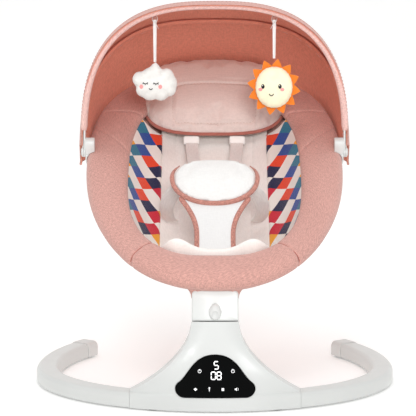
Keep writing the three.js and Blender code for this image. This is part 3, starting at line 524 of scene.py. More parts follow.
def srgb(red, green, blue):
    """A colour given as screen values, 0 to 255."""
    channels = [c / 255 for c in (red, green, blue)]
    return tuple(c / 12.92 if c <= 0.04045 else ((c + 0.055) / 1.055) ** 2.4 for c in channels) + (1,)


class Look:
    """One material, and a short way to add its nodes."""

    def __init__(self, name, coords="Object", **sockets):
        self.material = bpy.data.materials.new(name)
        self.material.use_nodes = True
        self.tree = self.material.node_tree
        self.shader = self.tree.nodes["Principled BSDF"]
        self.at = self.add("TexCoord").outputs[coords]
        for socket, value in sockets.items():
            self.shader.inputs[socket.replace("_", " ")].default_value = value

    def add(self, kind, inputs=None, **settings):
        node = self.tree.nodes.new("ShaderNode" + kind)
        for key, value in settings.items():
            setattr(node, key, value)
        for key, value in (inputs or {}).items():
            if isinstance(value, bpy.types.NodeSocket):
                self.tree.links.new(value, node.inputs[key])
            else:
                node.inputs[key].default_value = value
        return node

    def math(self, operation, *values):
        return self.add("Math", dict(enumerate(values)), operation=operation).outputs[0]

    def noise(self, scale, detail=3.0, stretch=(1, 1, 1)):
        at = self.at
        if stretch != (1, 1, 1):
            at = self.add("Mapping", {"Vector": at, "Scale": stretch}).outputs[0]
        return self.add("TexNoise", {"Vector": at, "Scale": scale, "Detail": detail}).outputs["Fac"]

    def ramp(self, factor, *stops, interpolation="LINEAR"):
        node = self.add("ValToRGB", {"Fac": factor})
        node.color_ramp.interpolation = interpolation
        elements = node.color_ramp.elements
        while len(elements) < len(stops):
            elements.new(0.5)
        for element, (position, colour) in zip(elements, stops):
            element.position = position
            element.color = colour
        return node.outputs["Color"]

    def mix(self, factor, a, b, blend="MIX"):
        node = self.add("Mix", data_type="RGBA", blend_type=blend)
        for socket, value in zip((node.inputs[0], node.inputs[6], node.inputs[7]), (factor, a, b)):
            if isinstance(value, bpy.types.NodeSocket):
                self.tree.links.new(value, socket)
            else:
                socket.default_value = value
        return node.outputs[2]

    def weave(self, thread):
        """A plain weave's height: threads of that width in millimetres over and under each other."""
        turns = self.add("VectorMath", {0: self.at, "Scale": 1000 * math.pi / thread}, operation="SCALE")
        waves = self.add("VectorMath", {0: turns.outputs[0]}, operation="SINE").outputs[0]
        split = self.add("SeparateXYZ", {0: waves})
        x, y, z = split.outputs[:3]
        rolled = self.add("CombineXYZ", {0: y, 1: z, 2: x}).outputs[0]
        return self.add("VectorMath", {0: waves, 1: rolled}, operation="DOT_PRODUCT").outputs["Value"]

    def finish(self, colour=None, height=None, depth=0.0003, strength=0.5, roughness=None):
        """Links colour, bump height (depth in metres) and roughness, and gives the material."""
        if colour is not None:
            self.tree.links.new(colour, self.shader.inputs["Base Color"])
        if roughness is not None:
            self.tree.links.new(roughness, self.shader.inputs["Roughness"])
        if height is not None:
            bump = self.add("Bump", {"Height": height, "Distance": depth, "Strength": strength})
            self.tree.links.new(bump.outputs[0], self.shader.inputs["Normal"])
        return self.material


def shades(colour, spread):
    """A darker and a lighter colour about one."""
    return [tuple(min(1.0, c * k) for c in colour[:3]) + (1,) for k in (1 - spread, 1 + spread)]


def fabric(name, colour, spread=0.14, thread=1.0, coords="Object", grain=260, mottle=0.05, sheen=0.2):
    """A woven cloth: yarns of slightly different colours both ways, soft mottling and a raised weave."""
    look = Look(name, coords, Roughness=0.92, Sheen_Weight=sheen, Sheen_Roughness=0.5)
    look.shader.inputs["Specular IOR Level"].default_value = 0.2
    dark, light = shades(colour, spread)
    warp = look.noise(grain, 2.0, (1, 0.22, 0.6))
    weft = look.noise(grain * 1.07, 2.0, (0.22, 1, 0.6))
    yarn = look.math("MULTIPLY", look.math("ADD", warp, weft), 0.5)
    yarns = look.ramp(yarn, (0.4, dark), (0.5, colour), (0.6, light))
    clouds = look.noise(9, 3.0)
    low = (1 - mottle, 1 - mottle, 1 - mottle, 1)
    tinted = look.mix(1.0, yarns, look.ramp(clouds, (0.3, low), (0.7, (1, 1, 1, 1))), "MULTIPLY")
    weave = look.math("MULTIPLY", look.weave(thread), 0.5)
    height = look.math("ADD", weave, look.math("MULTIPLY", warp, 1.2))
    return look.finish(tinted, height, 0.00022, 0.55)


def webbing_look(name, colour, rib):
    """Ribbed polyester tape: ribs across its width."""
    look = Look(name, "UV", Roughness=0.75, Sheen_Weight=0.15)
    dark, light = shades(colour, 0.04)
    waves = {"Vector": look.at, "Scale": 1000 / rib, "Distortion": 0.3}
    wave = look.add("TexWave", waves, bands_direction="Y")
    tint = look.ramp(look.noise(500, 2.0, (1, 0.2, 1)), (0.35, dark), (0.65, light))
    height = look.math("ADD", wave.outputs["Fac"], look.math("MULTIPLY", look.weave(0.8), 0.4))
    return look.finish(tint, height, 0.0003, 0.6)


def plush(name, colour, pile=0.8):
    """Short velvety pile."""
    look = Look(name, Roughness=0.95, Sheen_Weight=0.5, Sheen_Roughness=0.4)
    look.shader.inputs["Specular IOR Level"].default_value = 0.15
    dark, light = shades(colour, 0.05)
    tint = look.ramp(look.noise(90, 4.0), (0.35, dark), (0.65, light))
    fine = look.noise(1500 / pile, 2.0)
    return look.finish(tint, look.math("ADD", fine, look.noise(260, 3.0)), 0.0006, 0.6)


def plastic(name, colour, roughness=0.32, texture=0.25, coat=0.0):
    """Moulded plastic: a faint spark-eroded texture, tiny tone changes and uneven gloss."""
    look = Look(name, Roughness=roughness, Coat_Weight=coat, Coat_Roughness=0.12)
    dark, light = shades(colour, 0.012)
    tint = look.ramp(look.noise(14, 3.0), (0.3, dark), (0.7, light))
    low, high = [(k, k, k, 1) for k in (roughness - 0.05, roughness + 0.07)]
    gloss = look.ramp(look.noise(55, 4.0), (0.35, low), (0.7, high))
    return look.finish(tint, look.noise(1400, 2.0), 0.00006, texture, gloss)


def gloss(name, colour):
    """A smoked glass panel: black, polished, with the faintest orange-peel."""
    look = Look(name, Roughness=0.06, Coat_Weight=0.04, Coat_Roughness=0.03)
    look.shader.inputs["Specular IOR Level"].default_value = 0.05
    dark, light = shades(colour, 0.2)
    tint = look.ramp(look.noise(30, 2.0), (0.3, dark), (0.7, light))
    return look.finish(tint, look.noise(90, 2.0), 0.00002, 0.1)


def metal(name, colour, roughness=0.3):
    look = Look(name, Metallic=1.0, Roughness=roughness, Anisotropic=0.3)
    dark, light = shades(colour, 0.07)
    brushed = look.noise(300, 3.0, (1, 0.05, 1))
    low, high = [(k, k, k, 1) for k in (roughness - 0.08, roughness + 0.12)]
    gloss = look.ramp(brushed, (0.3, low), (0.7, high))
    tint = look.ramp(look.noise(35, 3.0), (0.3, dark), (0.7, light))
    return look.finish(tint, brushed, 0.00008, 0.3, gloss)


def rubber(name, colour):
    look = Look(name, Roughness=0.8)
    dark, light = shades(colour, 0.2)
    tint = look.ramp(look.noise(120, 4.0), (0.3, dark), (0.7, light))
    return look.finish(tint, look.noise(900, 3.0), 0.0002, 0.5)


def circuit(name):
    """A green board with copper tracks under its mask."""
    look = Look(name, Roughness=0.35)
    brick = look.add("TexBrick", {"Vector": look.at, "Scale": 160, "Mortar Size": 0.03})
    brick.inputs["Color1"].default_value = srgb(30, 92, 52)
    brick.inputs["Color2"].default_value = srgb(36, 104, 60)
    brick.inputs["Mortar"].default_value = srgb(150, 140, 70)
    return look.finish(brick.outputs["Color"], brick.outputs["Fac"], 0.0001, 0.4)


BAR_LEAN, BAR_PITCH = -0.37, 0.036  # how far each bar leans, and its width in metres
ROW_LEAN, ROW_PITCH = 1.29, 0.028
CELL_CYCLE, INKED_CELLS = 5.0, 2.5  # of five cells in a cycle, the first three are inked
COLUMN_STEP, ROW_STEP = 5.0, 2.0  # how many inks each column and each row moves on
PRINT_INKS = [
    (208, 24, 52), (24, 118, 148), (14, 22, 70), (246, 168, 38), (234, 66, 22), (246, 168, 38), (30, 74, 158),
]
INK_COUNT = len(PRINT_INKS)


def printed(name):
    """Cloth with a made-up print: leaning bars of parallelograms in bright colours on off-white."""
    look = Look(name, "UV", Roughness=0.9, Sheen_Weight=0.15)
    split = look.add("SeparateXYZ", {0: look.at})
    across, along = split.outputs[0], split.outputs[1]
    bar = look.math("MULTIPLY_ADD", across, BAR_LEAN, along)
    column = look.math("FLOOR", look.math("DIVIDE", bar, BAR_PITCH))
    level = look.math("MULTIPLY_ADD", across, ROW_LEAN, along)
    row = look.math("FLOOR", look.math("DIVIDE", level, ROW_PITCH))
    turn = look.math("FLOORED_MODULO", look.math("MULTIPLY_ADD", column, 2.0, row), CELL_CYCLE)
    inside = look.math("LESS_THAN", turn, INKED_CELLS)
    steps = look.math("MULTIPLY_ADD", column, COLUMN_STEP, look.math("MULTIPLY", row, ROW_STEP))
    number = look.math("ADD", look.math("FLOORED_MODULO", steps, INK_COUNT), 0.5)
    pick = look.math("DIVIDE", number, INK_COUNT)
    inks = [(k / INK_COUNT, srgb(*ink)) for k, ink in enumerate(PRINT_INKS)]
    ink = look.ramp(pick, *inks, interpolation="CONSTANT")
    colour = look.mix(inside, srgb(243, 238, 232), ink)
    dark, light = shades((1, 1, 1, 1), 0.03)
    tinted = look.mix(1.0, colour, look.ramp(look.noise(420, 2.0), (0.3, dark), (0.7, light)), "MULTIPLY")
    return look.finish(tinted, look.weave(0.8), 0.0002, 0.5)


HEATHER = srgb(205, 156, 146)
SALMON = srgb(232, 151, 128)
PLAIN = plastic("plain_plastic", srgb(236, 238, 236))
WHITE_SHELL = plastic("white_shell_plastic", srgb(213, 215, 213), 0.34, coat=0.1)
WHITE_TRIM = plastic("white_trim_plastic", srgb(216, 217, 215), 0.4)
RUBBER = rubber("foot_rubber", srgb(58, 58, 60))
DARK_PLASTIC = plastic("socket_plastic", srgb(42, 42, 44), 0.45)
STEEL = metal("brushed_steel", srgb(176, 178, 182))
GEAR_NYLON = plastic("gear_nylon", srgb(240, 236, 222), 0.5)
BOARD = circuit("circuit_board")
PANEL_BLACK = gloss("panel_black_gloss", srgb(5, 6, 6))
PINK = fabric("rim_heather_weave", HEATHER, 0.2, 1.1, "UV", grain=900)
PINK_SOLID = fabric("heather_weave_solid", HEATHER, 0.2, 1.1, "Object", grain=900)
BINDING = fabric("canopy_binding_weave", srgb(229, 190, 182), 0.2, 1.1, "UV", grain=900)
TRIM = fabric("harness_heather_trim", srgb(184, 128, 116), 0.36, 0.9, "UV", grain=1000)
LINING = fabric("canopy_lining_cloth", SALMON, 0.08, 0.8, "UV", grain=420, sheen=0.1)
PIPING = fabric("piping_cloth", srgb(178, 108, 96), 0.12, 0.7, "UV", grain=500)
CREAM = fabric("liner_jersey", srgb(243, 237, 232), 0.035, 0.7, "UV", grain=500, mottle=0.03)
PILLOW = fabric("pillow_jersey", srgb(226, 208, 201), 0.035, 0.7, "Object", grain=500, mottle=0.03)
PAD_WHITE = fabric("belly_pad_jersey", srgb(226, 225, 223), 0.02, 0.8, "Object", grain=500, mottle=0.015)
PAD_STRIP = fabric("crotch_pad_jersey", srgb(222, 221, 220), 0.02, 0.8, "UV", grain=500, mottle=0.015)
WEBBING = webbing_look("webbing", srgb(244, 242, 238), 1.5)
PRINT = printed("side_wing_print")
PLUSH_WHITE = plush("cloud_plush", srgb(228, 227, 223))
PLUSH_CREAM = plush("sun_plush", srgb(246, 237, 205))
FELT = plush("orange_felt", srgb(232, 128, 48), 1.4)
CHEEK = plush("cheek_plush", srgb(238, 158, 156))
INK = plush("embroidery_thread", srgb(44, 42, 44), 0.6)
THREAD = fabric("seam_thread", srgb(205, 160, 150), 0.1, 0.3, "Object", grain=900)
THREAD_CREAM = fabric("cream_seam_thread", srgb(205, 180, 168), 0.08, 0.3, "Object", grain=900)


def light_up(name, strength):
    """A display segment: white, faintly lit."""
    look = Look(name, Roughness=0.4, Emission_Strength=strength)
    look.shader.inputs["Emission Color"].default_value = (1, 1, 1, 1)
    tint = look.ramp(look.noise(400, 2.0), (0.3, srgb(232, 234, 236)), (0.7, srgb(250, 250, 250)))
    return look.finish(tint)


DISPLAY = light_up("display_segment", 0.75)
ICON = light_up("panel_icon", 0.3)


# ---------------------------------------------------------------- camera, floor and light

CAMERA_LENS = 162.8
CAMERA_ELEVATION = math.radians(8)
CAMERA_AWAY = 3.0  # metres from what it aims at
CAMERA_AIM = (-10.4, 0, 250)


def make_camera():
    data = bpy.data.cameras.new("camera")
    data.lens = CAMERA_LENS
    data.sensor_width = 36
    camera = bpy.data.objects.new("camera", data)
    elevation = CAMERA_ELEVATION
    aim = Vector(to_metres(CAMERA_AIM))
    camera.location = aim + CAMERA_AWAY * Vector((0, -math.cos(elevation), math.sin(elevation)))
    camera.rotation_euler = (math.pi / 2 - elevation, 0, 0)
    bpy.context.scene.collection.objects.link(camera)
    bpy.context.scene.camera = camera


def area_light(name, place_at, aim, size, watts, spread_deg=180):
    data = bpy.data.lights.new(name, "AREA")
    data.shape = "RECTANGLE"
    data.size, data.size_y = size
    data.energy = watts
    data.spread = math.radians(spread_deg)
    lamp = bpy.data.objects.new(name, data)
    lamp.location = place_at
    lamp.rotation_euler = (Vector(aim) - Vector(place_at)).to_track_quat("-Z", "Y").to_euler()
    bpy.context.scene.collection.objects.link(lamp)


def make_stage():
    world = bpy.data.worlds.new("studio")
    world.use_nodes = True
    world.node_tree.nodes["Background"].inputs["Color"].default_value = (1, 1, 1, 1)
    world.node_tree.nodes["Background"].inputs["Strength"].default_value = 0.76
    bpy.context.scene.world = world
    area_light("key", (-0.35, -2.0, 2.35), (0, 0, 0.3), (0.9, 0.7), 11)
    area_light("bucket", (0.2, -2.5, 1.0), (0, 0.03, 0.41), (0.6, 0.4), 0.9, spread_deg=30)
    area_light("top", (0, 0.3, 2.6), (0, 0, 0.2), (2.2, 2.2), 9)
    look = Look("pale_floor", Roughness=0.7, Emission_Strength=0.17)
    look.shader.inputs["Emission Color"].default_value = (1, 1, 1, 1)
    tint = look.ramp(look.noise(3, 2.0), (0.3, srgb(250, 250, 249)), (0.7, srgb(252, 252, 251)))
    reach, rise_at, radius = 6.0, 3.2, 1.6
    profile = [(-reach, 0.0), (rise_at, 0.0)]
    for a in np.linspace(0.1, math.pi / 2, 12):
        profile.append((rise_at + radius * math.sin(a), radius - radius * math.cos(a)))
    profile.append((rise_at + radius, 7.0))
    points = [(x, y, z) for y, z in profile for x in (-reach, reach)]
    faces, _ = grid_faces(len(profile), 2)
    floor = mesh_piece("studio_floor", points, faces[:, ::-1], look.finish(tint, look.noise(60), 0.0005, 0.1))


def set_view():
    bpy.context.scene.view_settings.view_transform = "Standard"
    bpy.context.scene.view_settings.look = "None"


# ---------------------------------------------------------------- toy ribbons: the cords

RIBBON_TOP = LOOP_Z - 6.6
RIBBON_LOWS = {"left": 482.2, "right": 488.2}
RIBBON_HALF_WIDTH, RIBBON_HALF_THICK = 2.8, 0.55


def make_toy_ribbons():
    """A flat ribbon from each fabric loop down to its toy."""
    for word, side in SIDES:
        heights = np.linspace(RIBBON_TOP, RIBBON_LOWS[word], 16)
        path = stacked(side * TOY_X, TOY_Y, heights)
        twist = np.linspace(0.2, 0.75, 16)
        turn = full_turn(10)
        across, through = RIBBON_HALF_WIDTH * np.cos(turn), RIBBON_HALF_THICK * np.sin(turn)
        x = np.cos(twist)[:, None] * across - np.sin(twist)[:, None] * through
        y = np.sin(twist)[:, None] * across + np.cos(twist)[:, None] * through
        rings = path[:, None] + np.stack([x, y, np.zeros_like(x)], axis=-1)
        ribbon = loft(f"toy_ribbon_{word}", rings, RIBBON)
        place(ribbon, f"toy_{word}", "webbing", f"toy_cord_{word}")
        route = to_metres(path)


RIBBON = webbing_look("toy_ribbon", srgb(250, 249, 247), 0.9)


# ---------------------------------------------------------------- floor base

def base_point(degrees, side):
    t = np.radians(degrees)
    reach = np.where(np.asarray(degrees) < 90, BASE_FRONT, BASE_REAR)
    return np.stack([side * BASE_HALF_WIDTH * np.sin(t), BASE_CENTRE_Y - reach * np.cos(t)], axis=-1)


def tube_section(half_width, low, high, inset=0.0):
    """Out from the curve and up, with round top edges and small round lower ones."""
    half, top, bottom = half_width - inset, high - inset / 2, low + inset / 2
    radius = max(1.5, high - TUBE_SHOULDER)
    arcs = [(half - radius, top - radius, radius, 0), (radius - half, top - radius, radius, 90),
            (2 - half, bottom + 2, 2, 180), (half - 2, bottom + 2, 2, 270)]
    points = []
    for x, z, r, start in arcs:
        angle = np.radians(start + np.linspace(0, 90, 9))
        points.append(np.stack([x + r * np.cos(angle), z + r * np.sin(angle)], axis=1))
    return np.concatenate(points)


def sweep_base(side, degrees, sections):
    rings = []
    for angle, section in zip(degrees, sections):
        here = base_point(angle, side)
        along = base_point(angle + 0.05, side) - base_point(angle - 0.05, side)
        along /= np.linalg.norm(along)
        out = np.array([along[1] * side, -along[0] * side])
        xy = here + section[:, :1] * out
        rings.append(np.column_stack([xy, section[:, 1]]))
    return np.array(rings)


def make_base_tubes():
    section = tube_section(TUBE_WIDTH / 2, TUBE_LOW, TUBE_TOP)
    start = 24.0
    for word, side in SIDES:
        degrees = np.linspace(start, TUBE_END_DEG, 100)
        tube_piece = loft(f"base_tube_cover_{word}", sweep_base(side, degrees, [section] * 100), WHITE_SHELL)
        halved(tube_piece, (side * (HOUSING_HALF_WIDTH + 0.3), 0, 0), (side, 0, 0))
        rounded_edge(tube_piece, side)
        place(tube_piece, "base", "white_shell", f"base_tube_{word}")
        reach = np.linspace(0, 1, 40)
        tip, mouth = np.clip((reach - 0.86) / 0.14, 0, 1), np.clip((0.05 - reach) / 0.05, 0, 1)
        insets = 3.2 * tip**2.4 + 0.9 * mouth
        wide = TUBE_WIDTH / 2 + 1.5
        sections = [tube_section(wide, TUBE_LOW, TUBE_TOP + 1.2, inset) for inset in insets]
        degrees = TUBE_END_DEG + 0.1 + (CAP_END_DEG - TUBE_END_DEG - 0.1) * reach
        cap = loft(f"end_cap_cover_{word}", sweep_base(side, degrees, sections), WHITE_TRIM)
        place(cap, "base", "white_trim", f"end_cap_{word}")


def rounded_edge(obj, side):
    """Draws the last millimetre in at the joint with the housing, as a moulded edge is."""
    points = vertex_array(obj)
    gap = points[:, 0] * side * 1000 - HOUSING_HALF_WIDTH
    near = gap < 0.6
    points[near, 2] -= 0.0003 * np.sign(points[near, 2] - 0.014)
    set_vertices(obj, points)


def make_feet():
    """Rubber feet with a rounded edge and a ring tread."""
    profile = [(0.01, 0.5), (3, 0.5), (3.3, 0), (5.5, 0), (5.8, 0.6), (7.2, 0.6), (7.5, 0), (10, 0),
               (10.8, 0.4), (11, 1.0), (11, 2.2), (0.01, 2.2)]
    turn = full_turn(48)
    for word, side in SIDES:
        for end, degrees in (("front", 20), ("rear", 125)):
            x, y = base_point(float(degrees), side)
            rings = [stacked(x + r * np.cos(turn), y + r * np.sin(turn), z) for r, z in profile]
            foot = loft(f"foot_pad_{end}_{word}", rings, RUBBER)
            place(foot, "base", "rubber", f"rubber_foot_{end}_{word}")


# ---------------------------------------------------------------- motor housing

def housing_half_width(z):
    fall = np.clip((NECK_HEIGHT - z) / (NECK_HEIGHT - TUBE_TOP), 0, 1)
    return NECK_HALF_WIDTH + (HOUSING_HALF_WIDTH - NECK_HALF_WIDTH) * fall**2


def ellipse_fall(x, out):
    return (BASE_FRONT + out) * (1 - np.sqrt(1 - (x / (BASE_HALF_WIDTH + out)) ** 2))


def housing_front(x, z, u):
    edge = np.abs(u) ** 3
    rounding = TUBE_TOP - TUBE_SHOULDER
    over = min(rounding, max(0, z - TUBE_SHOULDER))
    ridge = rounding - math.sqrt(rounding**2 - over**2) + max(0, z - TUBE_TOP) * 0.36
    lean = max(0, z * HOUSING_LEAN - 1)
    return HOUSING_FRONT_Y + 0.5 + ellipse_fall(x, TUBE_WIDTH / 2) + lean * (1 - edge) + ridge * edge


def housing_outline(z, grow, count=61):
    w = housing_half_width(z)
    up = min(1, max(0, (z - TUBE_TOP) / (NECK_HEIGHT - TUBE_TOP)))
    over = min(TUBE_TOP - TUBE_SHOULDER, max(0, z - TUBE_SHOULDER))
    thin = 10 * (1 - up) if z > TUBE_TOP else over * 10 / (TUBE_TOP - TUBE_SHOULDER)
    end_depth = TUBE_WIDTH - thin + 8 * up
    rear = HOUSING_REAR_Y - 5 * up
    u = -np.cos(math.pi * np.arange(count) / (count - 1))
    front = stacked(u * (w + grow), housing_front(u * w, z, u) - grow, z)
    end = housing_front(u * w, z, 1) + end_depth
    bulge = (1 - np.abs(u) ** (2 + 3 * up)) ** (1.5 - up)
    back = stacked(u * (w + grow), end + (rear - end) * bulge + grow, z)
    return np.concatenate([front, back[::-1]])


def housing_form(name, grow, low, high, levels=52):
    shoulder = np.linspace(TUBE_SHOULDER, TUBE_TOP, 8)
    heights = np.unique(np.concatenate([np.linspace(low, high, levels), shoulder]))
    return loft(name, np.array([housing_outline(z, grow) for z in heights]), WHITE_SHELL, sharp_deg=35)


def bell_outline(grow, samples=12):
    half, low, shoulder, high = 60 + grow, 21 - grow, 41 + grow, 79 + grow
    right = [
        bezier((half - 16, low), (half - 4, low), (half + 3, shoulder - 7), (half - 7, shoulder), samples),
        bezier((half - 7, shoulder), (half - 22, shoulder + 10), (33, high), (0, high), samples * 2),
    ]
    right = np.concatenate(right)
    left = right[::-1] * (-1, 1)
    return np.concatenate([right, [(0, high)], left])


def bell_prism(name, grow):
    outline = bell_outline(grow)
    rings = [stacked(outline[:, 0], y, outline[:, 1]) for y in (HOUSING_FRONT_Y - 10, HOUSING_FRONT_Y + 50)]
    return loft(name, np.array(rings), PANEL_BLACK, sharp_deg=30)


def cylinder(name, radius, low, high, place_in, sides=48):
    """A cylinder about the third axis of a frame of reference, as a cutting tool."""
    turn = full_turn(sides)
    rings = [place_in(radius * np.cos(turn), radius * np.sin(turn), z) for z in (low, high)]
    return loft(name, np.array(rings), PLAIN, sharp_deg=30)


def make_housing():
    shell = housing_form("base_housing_shell", 0, TUBE_LOW, 135)
    boolean(shell, housing_form("cavity", -WALL, -5, 97, 40))
    halved(shell, SWING_ORIGIN, (0, -math.sin(SWING_LEAN), -math.cos(SWING_LEAN)))
    boolean(shell, cylinder("bearing_seat", 14.3, -40, -3, in_swing))
    boolean(shell, cylinder("shaft_hole", 7, -20, 20, in_swing))
    recess = bell_prism("recess", 0.5)
    boolean(recess, housing_form("recess_floor", -2.3, TUBE_LOW, 135))
    boolean(shell, recess)
    boolean(shell, cylinder("inlet_hole", 5.9, 200, 264, lambda x, y, z: stacked(x - 52, -z, y + 14)))
    rear = copy_of(shell, "base_rear_cover")
    halved(shell, (0, HOUSING_SPLIT_Y - 0.15, 0), (0, -1, 0), "base_front_cover")
    halved(rear, (0, HOUSING_SPLIT_Y + 0.15, 0), (0, 1, 0))
    place(shell, "base", "white_shell", "base_front_housing")
    place(rear, "base", "white_shell", "base_rear_housing")

    panel = bell_prism("control_panel_glass", 0)
    skin = housing_form("panel_skin", 1.2, TUBE_LOW, 135)
    boolean(panel, skin, "INTERSECT")
    boolean(panel, housing_form("panel_back", -1.8, TUBE_LOW, 135))
    shade(panel, 30)
    place(panel, "base", "panel_black", "control_panel")


def on_panel(x, z, proud):
    """A point that stands proud of the panel's glass."""
    half = housing_half_width(z)
    return np.array([x, housing_front(x, z, x / half) - 1.2 - proud, z])


def panel_shapes(name, shapes, material, proud=0.12):
    """Thin raised shapes on the glass, each a convex outline of (x, z) points."""
    points, faces = [], []
    for shape in shapes:
        first, count = len(points), len(shape)
        points += [on_panel(x, z, proud) for x, z in shape]
        points += [on_panel(x, z, -0.3) for x, z in shape]
        faces.append([first + k for k in range(count)])
        faces.append([first + count + k for k in reversed(range(count))])
        faces += [
            (first + k, first + (k + 1) % count, first + count + (k + 1) % count, first + count + k)
            for k in range(count)
        ]
    piece = mesh_piece(name, to_metres(points), faces, material, 20)
    face_outwards(piece)
    return place(piece, "base", "panel_black")


SEGMENTS = {"0": "abcdef", "5": "afgcd", "8": "abcdefg"}


def digit_shapes(character, x, z, high=10, wide=6.0, thick=1.4):
    """One seven-segment digit as bars with pointed ends."""
    half_w, half_h = wide / 2, high / 4
    places = {
        "a": (0, 2 * half_h, 0), "b": (half_w, half_h, 1), "c": (half_w, -half_h, 1),
        "d": (0, -2 * half_h, 0), "e": (-half_w, -half_h, 1), "f": (-half_w, half_h, 1), "g": (0, 0, 0),
    }
    shapes = []
    for segment in SEGMENTS[character]:
        cx, cz, upright = places[segment]
        long = (half_h if upright else half_w) - 0.25
        bar = [(-long, 0), (thick / 2 - long, thick / 2), (long - thick / 2, thick / 2), (long, 0),
               (long - thick / 2, -thick / 2), (thick / 2 - long, -thick / 2)]
        turned = [(b, a) if upright else (a, b) for a, b in bar]
        shapes.append([(x + cx + a, z + cz + b) for a, b in turned])
    return shapes


def ring_shapes(x, z, outer, inner, start=0, sweep=360, pieces=16):
    """A ring, or part of one, as short convex pieces."""
    turns = np.radians(np.linspace(start, start + sweep, pieces + 1))
    at = lambda r, t: (x + r * math.cos(t), z + r * math.sin(t))
    return [[at(inner, a), at(outer, a), at(outer, b), at(inner, b)] for a, b in zip(turns, turns[1:])]


def bar_shape(x0, z0, x1, z1):
    """An upright rectangle between two corners."""
    return [(x0, z0), (x1, z0), (x1, z1), (x0, z1)]


def make_panel_marks():
    """Generic display digits, two ring keys above and a row of four icons below."""
    digits = digit_shapes("5", 1.5, 65)
    digits += digit_shapes("0", -2.7, 51) + digit_shapes("8", 5.5, 51)
    panel_shapes("display_digits", digits, DISPLAY)
    icons = []
    for side in (-1, 1):
        x, z = side * 24 + 1.5, 57
        icons += ring_shapes(x, z, 2.6, 1.9)
        icons += [bar_shape(x - 0.4, z, x + 0.4, z + 2.2)]
    left, mid_left, mid_right, right = -28.5, -8.5, 11.0, 30.5
    low = 32.5
    top, foot = (left, low + 2.2), (left, low - 2.2)
    icons += [[(left - 2.8, low), top, foot], [(left + 2.8, low), foot, top]]
    icons += [bar_shape(mid_left - 0.5, low - 2.4, mid_left + 0.5, low + 1)]
    icons += ring_shapes(mid_left, low + 2, 1.2, 0.4, pieces=10)
    icons += [bar_shape(mid_right - 1.8, low - 1.8, mid_right + 1.8, low + 1.8)]
    icons += [bar_shape(right - 2.4, low - 1, right - 1, low + 1)]
    cone = [(right - 1, low - 1), (right + 0.8, low - 2.4), (right + 0.8, low + 2.4), (right - 1, low + 1)]
    icons += [cone]
    icons += ring_shapes(right + 0.6, low, 2.4, 1.9, -45, 90, 6)
    panel_shapes("panel_icons", icons, ICON)


# ---------------------------------------------------------------- head block

def rounded_outline(half, low, high, corner, count=10):
    """A rectangle with round upper corners, going round from its lower right corner."""
    small = 1.2
    points = []
    corners = [(half, low, small, -90), (half, high, corner, 0)]
    corners += [(-half, high, corner, 90), (-half, low, small, 180)]
    for x, z, radius, start in corners:
        angle = np.radians(start + np.linspace(0, 90, count))
        cx = x - radius * math.copysign(1, x)
        cz = z + radius if z == low else z - radius
        points.append(np.stack([cx + radius * np.cos(angle), cz + radius * np.sin(angle)], axis=1))
    return np.concatenate(points)


def head_form(name):
    bevel, depth = HEAD["bevel"], HEAD["half_depth"]
    angle = np.radians(np.linspace(0, 90, 7))
    insets = bevel * (1 - np.sin(angle))
    levels = -depth + bevel * (1 - np.cos(angle))
    profile = list(zip(levels, insets)) + [(-y, inset) for y, inset in zip(levels[::-1], insets[::-1])]
    rings = []
    for y, inset in profile:
        outline = rounded_outline(
            HEAD["half_width"] - inset, HEAD["low"] + inset, HEAD["high"] - inset, HEAD["corner"] - inset / 2
        )
        rings.append(in_swing(outline[:, 0], y, outline[:, 1]))
    return loft(name, np.array(rings), WHITE_SHELL, sharp_deg=35)


def recline_pivot():
    """The recline axis in the swing frame: y and z."""
    point = on_seat(0, -7, -38.7) - SWING_ORIGIN
    c, s = math.cos(SWING_LEAN), math.sin(SWING_LEAN)
    return c * point[1] - s * point[2], s * point[1] + c * point[2]


def make_head():
    pivot_y, pivot_z = recline_pivot()
    body = head_form("head_body")
    boolean(body, box_piece("bracket_slot", (-21.5, 21.5), (-23.5, 8), (17, 60), in_swing))
    across_pin = lambda x, y, z: in_swing(z, x + pivot_y, y + pivot_z)
    boolean(body, cylinder("pin_hole", 4.3, -30.5, 30.5, across_pin))
    boolean(body, cylinder("shaft_bore", 6.3, -5, 18, in_swing))
    boolean(body, cylinder("flange_pocket", 12.4, 7.6, 12.4, in_swing))
    boolean(body, box_piece("latch_slot", (-5.5, 5.5), (-40, -20), (5.6, 23.6), in_swing))
    boolean(body, box_piece("latch_pocket", (-10, 10), (-22.5, -17.5), (2.8, 32), in_swing))
    rear = copy_of(body, "head_rear_shell")
    forwards = np.array([0, -math.cos(SWING_LEAN), math.sin(SWING_LEAN)])
    halved(body, in_swing(0, -0.15, 20), forwards, "head_front_shell")
    halved(rear, in_swing(0, 0.15, 20), -forwards)
    place(body, "head", "white_shell", "head_front_cover")
    place(rear, "head", "white_shell", "head_rear_cover")


